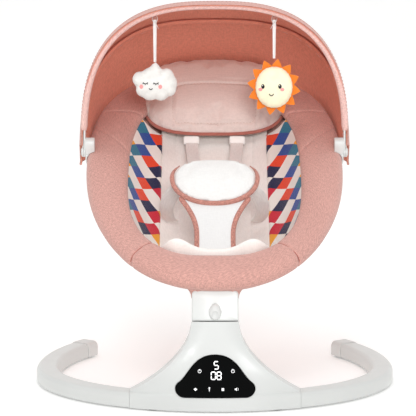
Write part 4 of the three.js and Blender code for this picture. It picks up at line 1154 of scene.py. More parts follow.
def make_latch():
    """An egg-shaped thumb catch with a scoop in its lower half."""
    face = -HEAD["half_depth"] - 0.4
    levels = np.sin(np.radians(np.linspace(0.5, 90, 20)))
    turn = full_turn(64)
    rings = []
    for proud in levels:
        size = math.sqrt(max(0.0001, 1 - proud**2.2))
        egg = 1 - 0.10 * np.sin(turn)
        wide, high = 9 * size * egg * np.cos(turn), 14.5 + 12.2 * size * np.sin(turn)
        rings.append(in_swing(wide, face - 6.3 * proud, high))
    catch = loft("recline_catch", np.array(rings), WHITE_TRIM, sharp_deg=45)
    scoop_turn = np.radians(np.linspace(2, 178, 24))
    rings = []
    for a in scoop_turn:
        deep = face - 9.2 + 7.2 * math.sin(a) * np.sin(turn)
        rings.append(in_swing(6.8 * math.sin(a) * np.cos(turn), deep, 7.6 - 8.4 * math.cos(a)))
    boolean(catch, loft("scoop", np.array(rings), WHITE_TRIM))
    stem = box_piece("stem", (-4.5, 4.5), (face - 0.5, -20.5), (6, 17), in_swing)
    boolean(catch, stem, "UNION")
    pawl = box_piece("pawl", (-8, 8), (-21.8, -19), (4.5, 20), in_swing)
    boolean(catch, pawl, "UNION")
    shade(catch, 35)
    place(catch, "latch", "white_trim", "recline_latch")


# ---------------------------------------------------------------- padded rim

def rim_lines(count):
    """Evenly spread points on the tube's centre line, the outward directions and the inner edge points."""
    fine = np.linspace(-math.pi, math.pi, 4001)[:-1]
    outer = evenly(oval_point(TUBE_LINE, fine), count, closed=True)
    along = np.roll(outer, -1, 0) - np.roll(outer, 1, 0)
    along /= np.linalg.norm(along, axis=1, keepdims=True)
    out = np.stack([along[:, 1], -along[:, 0]], axis=1)
    reaches = np.arange(0, 120, 0.25)
    trial = outer[:, None] - out[:, None] * reaches[:, None]
    low, high = INNER_LINE["centre"] - INNER_LINE["foot"], INNER_LINE["centre"] + INNER_LINE["head"]
    inside = (trial[..., 1] > low) & (trial[..., 1] < high)
    inside &= np.abs(trial[..., 0]) < oval_half_width(INNER_LINE, trial[..., 1])
    reach = reaches[np.argmax(inside, axis=1)]
    reach = np.convolve(np.concatenate([reach[-4:], reach, reach[:4]]), np.ones(9) / 9, "valid")
    return outer, out, reach


FOOT_FULL_TO = 120
FOOT_FULLNESS = 3.4
FOOT_SAG = 2.4


def rim_rings(count=460, around=56):
    """The padded rim's sections in the seat plane: round the tube, then in to the bucket's edge."""
    outer, out, reach = rim_lines(count)
    full = np.clip((FOOT_FULL_TO - outer[:, 1]) / FOOT_FULL_TO, 0, 1)
    radius = PAD_RADIUS + FOOT_FULLNESS * full
    control = [[radius * math.cos(a), radius * math.sin(a) - FOOT_SAG * full]
               for a in np.radians([-90, -55, -20, 15, 50, 88])]
    for share, height in ((0.62, 15.2), (0.27, 13.2), (0.03, 7.5), (0, -4.5), (0.28, -11)):
        control.append([-(1 - share) * reach, np.full(count, float(height))])
    control = np.transpose(np.array(control), (2, 0, 1))
    section = np.einsum("sk,nkc->nsc", smooth_weights(control.shape[1], around, True), control)
    xy = outer[:, None] + out[:, None] * section[..., :1]
    return np.concatenate([xy, section[..., 1:]], axis=-1)


def seam_planes():
    """The rim's seams: a point and a direction square to each, in the seat plane."""
    (ix, iy), (ox, oy) = FOOT_SEAM
    planes = []
    for _, side in SIDES:
        along = np.array([side * (ox - ix), oy - iy], float)
        across = np.array([-along[1], along[0]]) / np.linalg.norm(along)
        across *= math.copysign(1, across[1])
        planes.append((np.array([side * ix, iy], float), across))
    return planes


def make_rim():
    rings = rim_rings()
    x, s, h = rings[..., 0], rings[..., 1], rings[..., 2]
    top = np.clip(h / 10, -0.5, 1)
    h = h + top * (0.9 * ripple(rings, 90) + 0.35 * ripple(rings, 34, 2.0))
    whole = loft("rim_pad_whole", on_seat(x, s, h), PINK, loops=True)
    pads = split_rim(whole)
    for name, pad in pads.items():
        place(pad, "seat", "rim_fabric", name)
    seam_piping()


def split_rim(whole):
    """Cuts the sleeve at its seams, with extra edge loops that let each seam pull in."""
    normal_of = lambda across: Vector(on_seat(across[0], across[1], 0) - on_seat(0, 0, 0))
    cuts = [(on_seat(p[0], p[1], 0), normal_of(a)) for p, a in seam_planes()]
    cuts.append((on_seat(0, HEAD_SEAM, 0), normal_of((0, 1))))
    work = bmesh.new()
    work.from_mesh(whole.data)
    for point, normal in cuts:
        for step in (-5.5, -3.0, -1.4, 1.4, 3.0, 5.5):
            bmesh.ops.bisect_plane(
                work, geom=work.verts[:] + work.edges[:] + work.faces[:],
                plane_co=Vector(to_metres(point)) + normal * step / 1000, plane_no=normal,
            )
    for vertex in work.verts:
        for k, (point, normal) in enumerate(cuts):
            away = (vertex.co - Vector(to_metres(point))).dot(normal) * 1000
            if abs(away) < 6:
                vertex.co -= vertex.normal * 0.0021 * math.exp(-((away / 2.2) ** 2))
    work.to_mesh(whole.data)
    work.free()
    gap = 0.08
    (left_point, left_normal), (right_point, right_normal), (head_point, head_normal) = cuts
    shift = lambda point, normal, by: point + np.array(normal) * by
    sides = halved(copy_of(whole, "sides"), shift(head_point, head_normal, -gap), -head_normal)
    head = halved(whole, shift(head_point, head_normal, gap), head_normal, "rim_cover_head")
    left = halved(copy_of(sides, "rim_cover_left"), shift(left_point, left_normal, gap), left_normal)
    halved(left, (-0.01, 0, 0), (-1, 0, 0))
    right = halved(copy_of(sides, "rim_cover_right"), shift(right_point, right_normal, gap), right_normal)
    halved(right, (0.01, 0, 0), (1, 0, 0))
    foot = halved(sides, shift(left_point, left_normal, -gap), -left_normal)
    halved(foot, shift(right_point, right_normal, -gap), -right_normal, "rim_cover_foot")
    return {"rim_pad_head": head, "rim_pad_left": left, "rim_pad_right": right, "rim_pad_foot": foot}


def seam_piping():
    """A dark thread line sunk in each seam groove, over the sleeve's upper half."""
    rings = rim_rings(900, 56)
    for (word, side), (point, across) in zip(SIDES, seam_planes()):
        away = (rings[..., :2] - point) @ across
        near = (rings[..., 0] * side > 60) & (rings[..., 1] < 160)
        line = []
        for j in range(rings.shape[1]):
            crossing = near[:-1, j] & near[1:, j] & (away[:-1, j] * away[1:, j] <= 0)
            for i in np.flatnonzero(crossing)[:1]:
                share = away[i, j] / (away[i, j] - away[i + 1, j])
                line.append(rings[i, j] * (1 - share) + rings[i + 1, j] * share)
        line = np.array([at for at in line if at[2] > 2])
        line = line[np.argsort(np.linalg.norm(line[:, :2] - point, axis=1))]
        keep = evenly(smooth(line, 80), 40)
        sunk = on_seat(keep[:, 0], keep[:, 1], keep[:, 2] - 1.9)
        thread = tube(f"rim_seam_{word}", sunk, 0.7, 0.7, PIPING, sides=8)
        place(thread, "seat", "rim_fabric")


# ---------------------------------------------------------------- bucket

DEPTH_POINTS = [(44, 3), (62, 3), (82, -22), (108, -66), (135, -92), (166, -101), (205, -95), (300, -74),
                (400, -53), (500, -31), (545, -14)]
DEPTH_LINE = smooth(DEPTH_POINTS, 400)


def depth_at(along):
    return np.interp(along, DEPTH_LINE[:, 0], DEPTH_LINE[:, 1])


def bucket_height(x, along):
    across = np.minimum(1, np.abs(x) / oval_half_width(INNER_LINE, along))
    return depth_at(along) * (1 - across**4.5)


def liner_half_width(along):
    return np.minimum(oval_half_width(INNER_LINE, along) - 3, 88)


def bucket_grid(rows, columns, low, high, edges):
    along = low + (high - low) * np.linspace(0, 1, rows)
    first, last = edges(along)
    share = np.linspace(0, 1, columns)
    x = first[:, None] + (last - first)[:, None] * share
    along = np.broadcast_to(along[:, None], x.shape)
    return x, along, share


def pillowed(share, edge=0.06):
    """1 inside and 0 at the ends of 0..1, rounding off within edge."""
    near = np.clip(np.minimum(share, 1 - share) / edge, 0, 1)
    return np.sqrt(1 - (1 - near) ** 2)


def liner_bulges(x, along):
    """The raised front lip with its two bumps, and soft creases where the seat bends."""
    lip = bump_at(along, 63, 14) * (19 * bump_at(np.abs(x), 57, 24) + 2.5)
    crease = 0.8 * np.sin(along / 7.5 + 0.02 * x) * bump_at(along, 165, 45) * (1 - (x / 95) ** 2)
    soft = 0.9 * ripple(stacked(x, along, 0), 75, 1.1)
    groove = -1.3 * (bump_at(np.abs(x), 50 + 0.03 * along, 2.0)) * (along > 150)
    return lip + crease + soft + groove


def make_liner():
    wide = lambda s: (-liner_half_width(s), liner_half_width(s))
    x, along, share = bucket_grid(200, 110, 52, 530, wide)
    rows = np.linspace(0, 1, 200)[:, None]
    full = pillowed(share) * pillowed(rows, 0.02)
    top = bucket_height(x, along) + liner_bulges(x, along)
    under = bucket_height(x, along) - LINER_THICK
    middle = (bucket_height(x, along) + under) / 2
    top = middle + (top - middle) * (0.25 + 0.75 * full)
    liner = slab("seat_liner_cover", on_seat(x, along, top), on_seat(x, along, under), CREAM)
    place(liner, "seat", "liner_fabric", "seat_liner")
    return liner


def make_wings():
    """The printed side panels between the liner and the rim."""
    for word, side in SIDES:
        wide = lambda s: (side * (liner_half_width(s) - 1.5), side * (oval_half_width(INNER_LINE, s) - 0.6))
        x, along, share = bucket_grid(150, 40, 92, 456, wide)
        rows = np.linspace(0, 1, 150)[:, None]
        full = pillowed(share, 0.12) * pillowed(rows, 0.04)
        soft = 1.0 * ripple(stacked(x, along, 0), 55, 3.3 + side)
        top = bucket_height(x, along) + 3.0 * full - 1.0 + soft * full
        under = bucket_height(x, along) - LINER_THICK
        top, under = on_seat(x, along, top), on_seat(x, along, under)
        wing = slab(f"side_wing_cover_{word}", top, under, PRINT)
        place(wing, "seat", "print_fabric", f"side_wing_{word}")


def make_sling():
    """The fabric shell under the bucket: from beneath the rim's tube, in and down round the seat."""
    rows, columns = 140, 90
    along = np.linspace(14, 566, rows)
    outer = oval_half_width(TUBE_LINE, along) - 3
    inner = np.maximum(oval_half_width(INNER_LINE, np.clip(along, 45, 544)), 1) - 2
    inner = np.where((along < 46) | (along > 543), 0.2 * outer, inner)
    share = np.linspace(-1, 1, columns)
    x = share * outer[:, None]
    grid_along = np.broadcast_to(along[:, None], x.shape)
    across = np.minimum(1, np.abs(x) / inner[:, None])
    floor = depth_at(along)[:, None] - 20
    bowl = floor * (1 - across**5) - 15 * across**5
    ends = np.clip(np.minimum(along - 14, 566 - along) / 60, 0, 1)[:, None]
    height = -14 + (bowl + 14) * np.clip(ends * 1.6, 0, 1) ** 1.4
    height = np.minimum(height, -13.4) + 0.8 * ripple(stacked(x, grid_along, 0), 80, 0.4)
    top = on_seat(x, grid_along, height)
    under = top - grid_normals(top) * 2.2 * np.sign(grid_normals(top)[rows // 2, columns // 2, 2])
    sling = slab("seat_sling_shell", top, under, PINK)
    place(sling, "seat", "rim_fabric", "seat_sling")


def make_boot():
    """The gusset of rim fabric between the seat's foot and the head block."""
    rows, columns = 20, 72
    turn = full_turn(columns)
    rings = []
    for share in np.linspace(0, 1, rows):
        x = 35.0 * signed_power(np.cos(turn), 0.35)
        low = in_swing(x, 28.0 * signed_power(np.sin(turn), 0.35), 37 + 9 * (1 - np.abs(x / 35) ** 5))
        wide = 36 + 23 * share**0.85
        along = 18 + 27 * signed_power(np.sin(turn), 0.45)
        high = on_seat(wide * signed_power(np.cos(turn), 0.45), along, -10)
        rings.append(low * (1 - share) + high * share)
    rings = np.array(rings)
    inner = rings + 1.3 * ((rings.mean(1, keepdims=True) - rings) / 40)
    body = np.concatenate([rings, inner[::-1]])
    boot = loft("seat_gusset", body, PINK_SOLID, loops=True)
    to_metres(in_swing(0, 0, 42))
    to_metres(in_swing(0, 0, 56))
    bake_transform(boot)


# ---------------------------------------------------------------- head pillow

PILLOW_TILT = math.radians(16.3)


def on_pillow(x, y, z):
    """Pillow plane to design frame."""
    p = turned_about_x(stacked(x, y, z), PILLOW_TILT, (0, 518, 4))
    return on_seat(p[..., 0], p[..., 1], p[..., 2])


def oval_ring(half_x, half_y, power, turn):
    return half_x * signed_power(np.cos(turn), 2 / power), half_y * signed_power(np.sin(turn), 2 / power)


def dome_rings(half_x, half_y, high, deep, power, frame_of, around=96, steps=26, shift=(0, 0), egg=0.0):
    """A domed pad of an oval outline, in rings from the middle of its face to the middle of its back."""
    turn = full_turn(around)
    reach = np.sin(np.linspace(0.03, math.pi / 2, steps))
    rings = []
    for r, sign in [(r, 1) for r in reach] + [(r, -1) for r in reach[-2::-1]]:
        x, y = oval_ring(half_x * r, half_y * r, power, turn)
        x = x * (1 + egg * np.sin(turn))
        size = high if sign > 0 else deep
        z = sign * size * np.sqrt(np.clip(1 - r**2.4, 0, 1))
        rings.append(frame_of(x + shift[0], y + shift[1], z))
    return np.array(rings)


PILLOW_HALF = (118, 84)
PRESSED_TO = -6  # a height on the seat under the pillow, used only for an anchor point that nothing takes
PILLOW_POWER = 3.1
PANEL_HALF = (69, 38)
PANEL_CENTRE = -33


def pillow_relief(x, y):
    """A sewn channel round the pillow's middle panel."""
    wide, high = PANEL_HALF
    edge = (np.abs(x / wide) ** 7 + np.abs((y - PANEL_CENTRE) / high) ** 7) ** (1 / 7)
    return -3.0 * bump_at(edge, 1, 0.05) + 1.0 * ripple(stacked(x, y, 0), 70, 0.9) * (edge < 1.3)


def make_pillow(rests):
    rings = dome_rings(*PILLOW_HALF, 25, 16, PILLOW_POWER, on_pillow, 160, 40)
    pillow = loft("head_pillow_cover", rings, PILLOW)
    held = lambda points: 1.2 - np.abs(frame_coords(points, on_pillow)[0][:, 2]) / 4
    puffed(pillow, 0.0045, 0.006, held, 0.05)
    local, axes = frame_coords(vertex_array(pillow), on_pillow)
    lift = pillow_relief(local[:, 0], local[:, 1]) * (local[:, 2] > 3)
    set_vertices(pillow, vertex_array(pillow) + lift[:, None] * axes[2] / 1000)
    lift_clear(pillow, rests, 0.0009)
    place(pillow, "seat", "pillow_fabric", "head_pillow")
    turn = np.linspace(0, 2 * math.pi, 400, endpoint=False)
    x, y = oval_ring(PILLOW_HALF[0] + 0.6, PILLOW_HALF[1] + 0.6, PILLOW_POWER, turn)
    edge = evenly(on_pillow(x, y, 0.5), 260, closed=True)
    piping = tube("head_pillow_piping", edge, 2.8, 2.8, PIPING, closed=True, lead=(0, 0, 1))
    place(piping, "seat", "pillow_fabric")
    x, y = oval_ring(*PANEL_HALF, 7, turn)
    tree = surface_tree(pillow)
    inwards = on_pillow(0, 0, -1) - on_pillow(0, 0, 0)
    line = drawn_on(tree, on_pillow(x, y + PANEL_CENTRE, 40), inwards)
    seam = stitches("head_pillow_stitching", evenly(line, 220, closed=True), THREAD_CREAM, closed=True)
    place(seam, "seat", "pillow_fabric")
    anchor = to_metres(on_seat(0, 518, PRESSED_TO))
    for piece in (pillow, piping, seam):
        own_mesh(piece)


def lift_clear(obj, rests, clear):
    """Moves what lies inside the pieces below up along the seat's normal until it is clear of them."""
    tree = surface_tree(*rests)
    up = Vector(SEAT_UP)
    points = vertex_array(obj)
    for k, co in enumerate(points):
        start = Vector(co) + up * 0.2
        hit = tree.ray_cast(start, -up, 0.2 + clear)
        if hit[0] is not None:
            points[k] = hit[0] + up * clear
    set_vertices(obj, points)


def drawn_on(tree, points, direction):
    """Design points thrown along a direction onto a surface; those that miss are left out."""
    found = []
    for point in to_metres(points):
        hit = tree.ray_cast(Vector(point), Vector(direction), 0.2)
        if hit[0] is not None:
            found.append(np.array(hit[0]) * 1000 - (0, SHIFT_Y, 0))
    return np.array(found)


# ---------------------------------------------------------------- harness

BELLY_HALF = (63.5, 42.5)
BELLY_EGG = 0.09
BELLY_ALONG = 132


def crotch_half(t):
    """Half width of the crotch strip: straight at its foot, flaring into the belly pad."""
    return 27.5 + 25.5 * (np.clip(t - 35, 0, None) / 66) ** 1.78


def make_harness():
    rings = dome_rings(*BELLY_HALF, 9, 5, 2.2, in_harness, 140, 26, shift=(0, BELLY_ALONG), egg=BELLY_EGG)
    belly = loft("belly_pad_cover", rings, PAD_WHITE)
    held = lambda points: 1.5 - np.abs(frame_coords(points, in_harness)[0][:, 2]) / 3
    puffed(belly, 0.004, 0.003, held, 0.01)
    normal = in_harness(0, 0, 1) - in_harness(0, 0, 0)
    set_vertices(belly, vertex_array(belly) + normal * 0.004)
    place(belly, "seat", "pad_fabric", "belly_pad")
    turn = np.radians(np.linspace(140, 400, 180))
    x, y = oval_ring(BELLY_HALF[0] + 1.6, BELLY_HALF[1] + 1.6, 2.2, turn)
    x = x * (1 + BELLY_EGG * np.sin(turn))
    fade = np.clip(np.minimum(turn - turn[0], turn[-1] - turn) / 0.6, 0.12, 1) ** 0.7
    edge = in_harness(x, y + BELLY_ALONG, 5.2 - 3 * (1 - fade))
    trim = tube("belly_pad_trim", edge, 4.0 * fade, 3.6 * fade, TRIM, lead=normal, sides=16)
    place(trim, "seat", "pad_fabric")

    t = np.linspace(2, 98, 60)
    share = np.linspace(-1, 1, 31)
    x = share * (crotch_half(t)[:, None] - 2)
    along = np.broadcast_to(t[:, None], x.shape)
    crown = 2.0 * np.sqrt(np.clip(1 - share**4, 0, 1)) + 0.4 * ripple(stacked(x, along, 0), 40, 0.2)
    face, back = in_harness(x, along, 1.6 + crown), in_harness(x, along, -1.8 - crown * 0.6)
    strip = slab("crotch_pad_cover", face, back, PAD_STRIP)
    place(strip, "seat", "pad_fabric", "crotch_pad")
    for word, side in SIDES:
        t = np.linspace(1, 102, 60)
        path = in_harness(side * (crotch_half(t) - 0.5), t, 1.0)
        edge = tube(f"crotch_pad_trim_{word}", path, 4.0, 3.4, TRIM, lead=(1, 0, 0), sides=16, ends=0.5)
        place(edge, "seat", "pad_fabric")


def strap_rings(points, widths, width, thick, steps=60):
    path = smooth(points, steps)
    wide = smooth(widths, steps)
    along = np.gradient(path, axis=0)
    along /= np.linalg.norm(along, axis=1, keepdims=True)
    side = wide - along * np.sum(wide * along, axis=1, keepdims=True)
    side /= np.linalg.norm(side, axis=1, keepdims=True)
    up = np.cross(side, along)
    angle = full_turn(28)
    a = signed_power(np.cos(angle), 0.35) * width / 2
    b = signed_power(np.sin(angle), 0.6) * thick / 2
    return path[:, None] + side[:, None] * a[:, None] + up[:, None] * b[:, None]


# each strap on the right side: its points, and which way its width lies at each
SHOULDER_LINE = [(38, 146, 349), (36, 100, 331), (32, 30, 317), (27, -60, 314)]
WAIST_LINE = [(55, -80, 292), (68, -66, 278), (75, -50, 259), (74, -36, 243), (66, -24, 232)]
WAIST_WIDTHS = [(0.85, 0.3, 0.42), (0.88, 0.28, 0.4), (0.9, 0.25, 0.3), (0.9, 0.2, 0.2), (0.85, 0.2, 0.1)]
STRAP_THICK = 2.2


def make_straps():
    for word, side in SIDES:
        mirror = np.array([side, 1, 1])
        rings = strap_rings(SHOULDER_LINE * mirror, [(1, 0, 0)] * 4, 21, STRAP_THICK)
        strap = loft(f"shoulder_webbing_{word}", rings, WEBBING)
        place(strap, "seat", "webbing", f"shoulder_strap_{word}")
        rings = strap_rings(WAIST_LINE * mirror, WAIST_WIDTHS * mirror, 23, STRAP_THICK)
        strap = loft(f"waist_webbing_{word}", rings, WEBBING)
        place(strap, "seat", "webbing", f"waist_strap_{word}")
        keeper(word, side)


def keeper(word, side):
    """A folded white tab at the top of each shoulder strap."""
    turn = full_turn(40)
    rings = []
    for depth, size in ((-2.2, 0.86), (-1.8, 0.96), (-0.8, 1), (0.8, 1), (1.8, 0.96), (2.2, 0.86)):
        x, y = oval_ring(13.2 * size, 7.6 * size, 7, turn)
        rings.append(turned_about_x(stacked(x, y, depth), math.radians(62), (side * 38, 130, 344.5)))
    piece = loft(f"strap_keeper_{word}", np.array(rings), WEBBING)
    place(piece, "seat", "webbing")


# ---------------------------------------------------------------- canopy

def canopy_slice(degrees):
    back = max(0, degrees - MID_BOW_DEG) / (RING_DEG - MID_BOW_DEG)
    front = min(1, max(0, (degrees - FRONT_BOW_DEG) / (MID_BOW_DEG - FRONT_BOW_DEG)))
    return 213.5 + 3.5 * front, 243.5 - 2.5 * front + 40 * back**1.5, 2.7 + 0.1 * front - 0.2 * back


def slice_points(degrees, half, high, power, turn, start=2):
    x = half * signed_power(np.cos(turn), 2 / power)
    r = start + (high - start) * np.abs(np.sin(turn)) ** (2 / power)
    a = math.radians(degrees)
    return stacked(x, -r * math.cos(a), r * math.sin(a)) + CANOPY_PIVOT


def arch_turns(count, clear=0.0112):
    """Turns that spread points evenly along the arch, clear of the pivots' eyelets."""
    fine = np.linspace(clear, math.pi - clear, 4000)
    half, high, power = canopy_slice(100)
    line = slice_points(100, half, high, power, fine)
    reach = np.concatenate([[0], np.cumsum(np.linalg.norm(np.diff(line, axis=0), axis=1))])
    return np.interp(np.linspace(0, reach[-1], count), reach, fine)


HUG = 10.5  # how far the canopy's rear draws in to the rim beside it


def canopy_rows(degrees, inset, turns, drop=0.0, sag=0.0):
    half, high, power = canopy_slice(degrees)
    row = slice_points(degrees, half - inset, high - inset - sag, power, turns)
    back = np.clip((degrees - MID_BOW_DEG) / (RING_DEG - MID_BOW_DEG), 0, 1)
    reach = np.linalg.norm((row - CANOPY_PIVOT)[:, 1:], axis=1)
    hug = HUG * back * np.clip((reach - 20) / 40, 0, 1) + 0.13 * drop * back * (reach > 24)
    row[:, 0] -= np.sign(row[:, 0]) * np.minimum(hug, np.abs(row[:, 0]) * 0.2)
    return row + SEAT_DOWN * drop


def angular_blend(obj, lower, upper, start_deg, end_deg):
    """Bakes the sheet's transform and works out each point's angle about the canopy's pivot; lower, upper,
    start_deg and end_deg are not used.
    """
    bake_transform(obj)
    points = vertex_array(obj) * 1000 - (0, SHIFT_Y, 0) - CANOPY_PIVOT
    degrees = np.degrees(np.arctan2(points[:, 2], -points[:, 1]))
    degrees = np.where(degrees < -90, degrees + 360, degrees)


def canopy_sheet(name, rows, thick, material, shares, node=None):
    """One layer of canopy cloth as a thin closed sheet, with its transform baked."""
    top = np.array(rows)
    normal = grid_normals(top)
    inwards = np.sign(np.sum(normal * (CANOPY_PIVOT - top), axis=-1, keepdims=True))
    obj = slab(name, top, top + normal * inwards * thick, material)
    if node:
        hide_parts(node)
    angular_blend(obj, *shares)
    return obj


OUTER_THICK, LINING_THICK, LINING_INSET = 1.1, 0.9, 1.6
FRONT_SHARES = ("canopy_mid", "canopy_front", MID_BOW_DEG, FRONT_BOW_DEG)
REAR_SHARES = ("seat", "canopy_mid", RING_DEG, MID_BOW_DEG)


def front_rows(turns, inset, extra=0.0):
    """The front panel's rows: a little slack between the two bows."""
    lateral = np.abs(np.sin(turns)) ** 0.8
    span = MID_BOW_DEG - FRONT_BOW_DEG
    puff = lambda d: 3.0 * lateral * math.sin(math.pi * min(1, max(0, (d - FRONT_BOW_DEG) / span)))
    degrees = np.concatenate([[EDGE_DEG, 78.2, 79.5], np.linspace(81, MID_BOW_DEG - 0.3, 30)])
    return [canopy_rows(d, inset, turns, sag=puff(d) + extra) for d in degrees]


def rear_rows(turns, inset):
    """The rear panel's rows, and the skirt that falls from them round the rim."""
    span = RING_DEG - MID_BOW_DEG
    rows = []
    for d in np.linspace(MID_BOW_DEG + 0.3, RING_DEG, 30):
        rows.append(canopy_rows(d, inset, turns, sag=1.5 * math.sin(math.pi * (d - MID_BOW_DEG) / span)))
    for fall in np.linspace(0.08, 1, 9):
        rows.append(canopy_rows(RING_DEG, inset, turns, SKIRT * fall))
    return rows


def make_canopy():
    turns = arch_turns(150)
    canopy_sheet("canopy_front_outer", front_rows(turns, 0), OUTER_THICK, PINK,
                 FRONT_SHARES, "canopy_front_panel")
    canopy_sheet("canopy_front_lining", front_rows(turns, LINING_INSET, 0.3), LINING_THICK, LINING,
                 FRONT_SHARES)
    canopy_sheet("canopy_rear_outer", rear_rows(turns, 0), OUTER_THICK, PINK,
                 REAR_SHARES, "canopy_rear_panel")
    canopy_sheet("canopy_rear_lining", rear_rows(turns, LINING_INSET), LINING_THICK, LINING,
                 REAR_SHARES)
    canopy_edges(turns)


PIVOT_CLEAR = 34  # where the bows' padding stops short of the pivots


def clear_of_pivots(line):
    """The part of a line that is clear of the canopy's pivots."""
    away = np.linalg.norm((line - CANOPY_PIVOT)[:, 1:], axis=1)
    return evenly(line[away > PIVOT_CLEAR], 220)


def canopy_edges(turns):
    """The padded front binding, the middle bow's casing and the stitching beside them. The casing's seam
    lines are real seams, drawn as dark tubes whose darkness is painted groove shade.
    """
    half, high, power = canopy_slice(EDGE_DEG)
    rim = evenly(slice_points(79.6, half - 4.9, high - 5.4, power, turns), 220)
    rim = clear_of_pivots(rim)
    binding = tube("canopy_front_binding", rim, 6.4, 5.3, BINDING, lead=(0, 1, 0.2), sides=20, ends=0.7)
    place(binding, "canopy_front", "rim_fabric")
    for name, degrees, inset in (("inner", 80.9, 8.6), ("outer", 81.6, -0.4)):
        half, high, power = canopy_slice(degrees)
        line = slice_points(degrees, half - inset, high - inset, power, turns)
        seam = stitches(f"canopy_binding_stitches_{name}", evenly(line, 300), THREAD, long=3.4, gap=2.4)
        place(seam, "canopy_front", "rim_fabric")
    half, high, power = canopy_slice(MID_BOW_DEG)
    line = evenly(slice_points(MID_BOW_DEG, half - 5.4, high - 5.4, power, turns), 220)
    line = clear_of_pivots(line)
    casing = tube("canopy_mid_casing", line, 6.3, 3.5, LINING, lead=(0, 0.87, 0.5), sides=16, ends=0.5)
    place(casing, "canopy_mid", "lining_fabric")
    # Dark tubes at the casing's edges: the seams are real, but their dark colour is painted shade of the seam
    # grooves.
    for word, lean in (("front", -6.2), ("rear", 6.2)):
        shift = np.array([0, math.sin(math.radians(MID_BOW_DEG)), math.cos(math.radians(MID_BOW_DEG))]) * lean
        seam = tube(f"canopy_mid_seam_shade_{word}", line + shift, 0.7, 0.7, PIPING, sides=6)
        place(seam, "canopy_mid", "lining_fabric")
    hem = evenly(canopy_rows(RING_DEG, 0.8, turns, SKIRT), 200)
    edge = tube("canopy_skirt_hem", hem, 1.6, 2.0, PINK, lead=SEAT_DOWN, sides=10)
    place(edge, "seat", "rim_fabric")


# ---------------------------------------------------------------- clips

# the hinge pin's places along its axis and its radius at each
PIN_PROFILE = [(14.6, 2.2), (15, 3), (22.6, 3), (22.6, 5.6), (22.9, 6), (23.4, 6), (23.8, 5.4), (23.8, 0.4)]


def make_clips():
    """A hooked white clip over the rim's tube on each side, with the canopy's hinge pin."""
    for word, side in SIDES:
        def place_clip(x, y, z):
            out, along = np.asarray(x, float), np.asarray(y, float)
            return on_seat(side * (TUBE_LINE["half"] + out), PIVOT_ALONG + along, z)

        sections = []
        for degrees in np.linspace(-88, 40, 40):
            a = math.radians(degrees)
            sections.append([(r * math.cos(a), y, r * math.sin(a)) for r, y in clip_section(14.1, 16.5, 13)])
        hook = np.array(sections)
        placed = place_clip(hook[..., 0], hook[..., 1], hook[..., 2])
        clip = loft(f"canopy_clip_hook_{word}", placed, WHITE_TRIM)
        lug = []
        turn = full_turn(48)
        for x, inset in ((1.5, 1.2), (1.9, 0.4), (2.7, 0), (15.5, 0), (16.2, 0.3), (16.5, 1)):
            y, z = oval_ring(10 - inset, 20 - inset, 4, turn)
            lug.append(place_clip(x, y, z + 12))
        plate = loft(f"lug_{word}", np.array(lug), WHITE_TRIM)
        boolean(clip, plate, "UNION")
        hole = cylinder(f"eye_{word}", 3.4, 5, 30, lambda x, y, z: place_clip(z, y, x + PIVOT_UP))
        boolean(clip, hole)
        boolean(clip, tube_core(f"core_{word}", place_clip))
        shade(clip, 35)
        place(clip, "seat", "white_trim", f"canopy_clip_{word}")
        turn = full_turn(40)
        rings = [place_clip(x, r * np.cos(turn), PIVOT_UP + r * np.sin(turn)) for x, r in PIN_PROFILE]
        pin = loft(f"canopy_hinge_pin_{word}", np.array(rings), WHITE_TRIM, sharp_deg=30)
        place(pin, "seat", "white_trim", f"canopy_pin_{word}")


def clip_section(inner, outer, half):
    """A rounded bar section: radius and place along the tube."""
    r0, r1, e = inner, outer, 0.7
    return [(r0 + e, -half), (r1 - e, -half), (r1, -half + e), (r1, half - e), (r1 - e, half), (r0 + e, half),
            (r0, half - e), (r0, -half + e)]


def tube_core(name, place_in):
    turn = full_turn(48)
    rings = [place_in(14.15 * np.cos(turn), y, 14.15 * np.sin(turn)) for y in (-30, 30)]
    return loft(name, np.array(rings), PLAIN)


# ---------------------------------------------------------------- hanging toys

def blob(name, balls, material, voxel=0.0011, calm=10):
    """Balls joined into one soft shape: (x, z, radius, thickness) each, about a centre."""
    parts = []
    turn = full_turn(48)
    for x, z, radius, thick in balls:
        reach = np.linspace(0.03, math.pi - 0.03, 30)
        rings = [stacked(x + radius * math.sin(a) * np.cos(turn), thick * math.cos(a),
                         z + radius * math.sin(a) * np.sin(turn)) for a in reach]
        parts.append(np.array(rings))
    pieces = [loft(f"{name}_{k}", rings, material) for k, rings in enumerate(parts)]
    whole = pieces[0]
    for other in pieces[1:]:
        boolean(whole, other, "UNION")
    remesh = whole.modifiers.new("remesh", "REMESH")
    remesh.mode = "VOXEL"
    remesh.voxel_size = voxel
    calmer = whole.modifiers.new("calm", "SMOOTH")
    calmer.iterations = calm
    calmer.factor = 0.6
    applied(whole)
    whole.name = name
    return whole


def moved(obj, shift):
    set_vertices(obj, vertex_array(obj) + np.array(shift) / 1000)
    return obj


def patch_on(name, tree, outline, material, body, lift=0.35):
    """A small flat patch of cloth laid on a toy's front: (x, z) outline about its middle."""
    outline = np.asarray(outline, float)
    middle = outline.mean(0)
    rings = []
    for size, proud in ((1, -0.3), (1, lift * 0.6), (0.9, lift), (0.5, lift), (0.04, lift)):
        line = middle + (outline - middle) * size
        front = drawn_on(tree, stacked(line[:, 0], -60, line[:, 1]), (0, 1, 0))
        rings.append(front - (0, proud, 0))
    piece = loft(name, np.array(rings), material, sharp_deg=60)
    return place(piece, body, PATCH_SLOT[body])


PATCH_SLOT = {"toy_left": "plush_white", "toy_right": "plush_cream"}


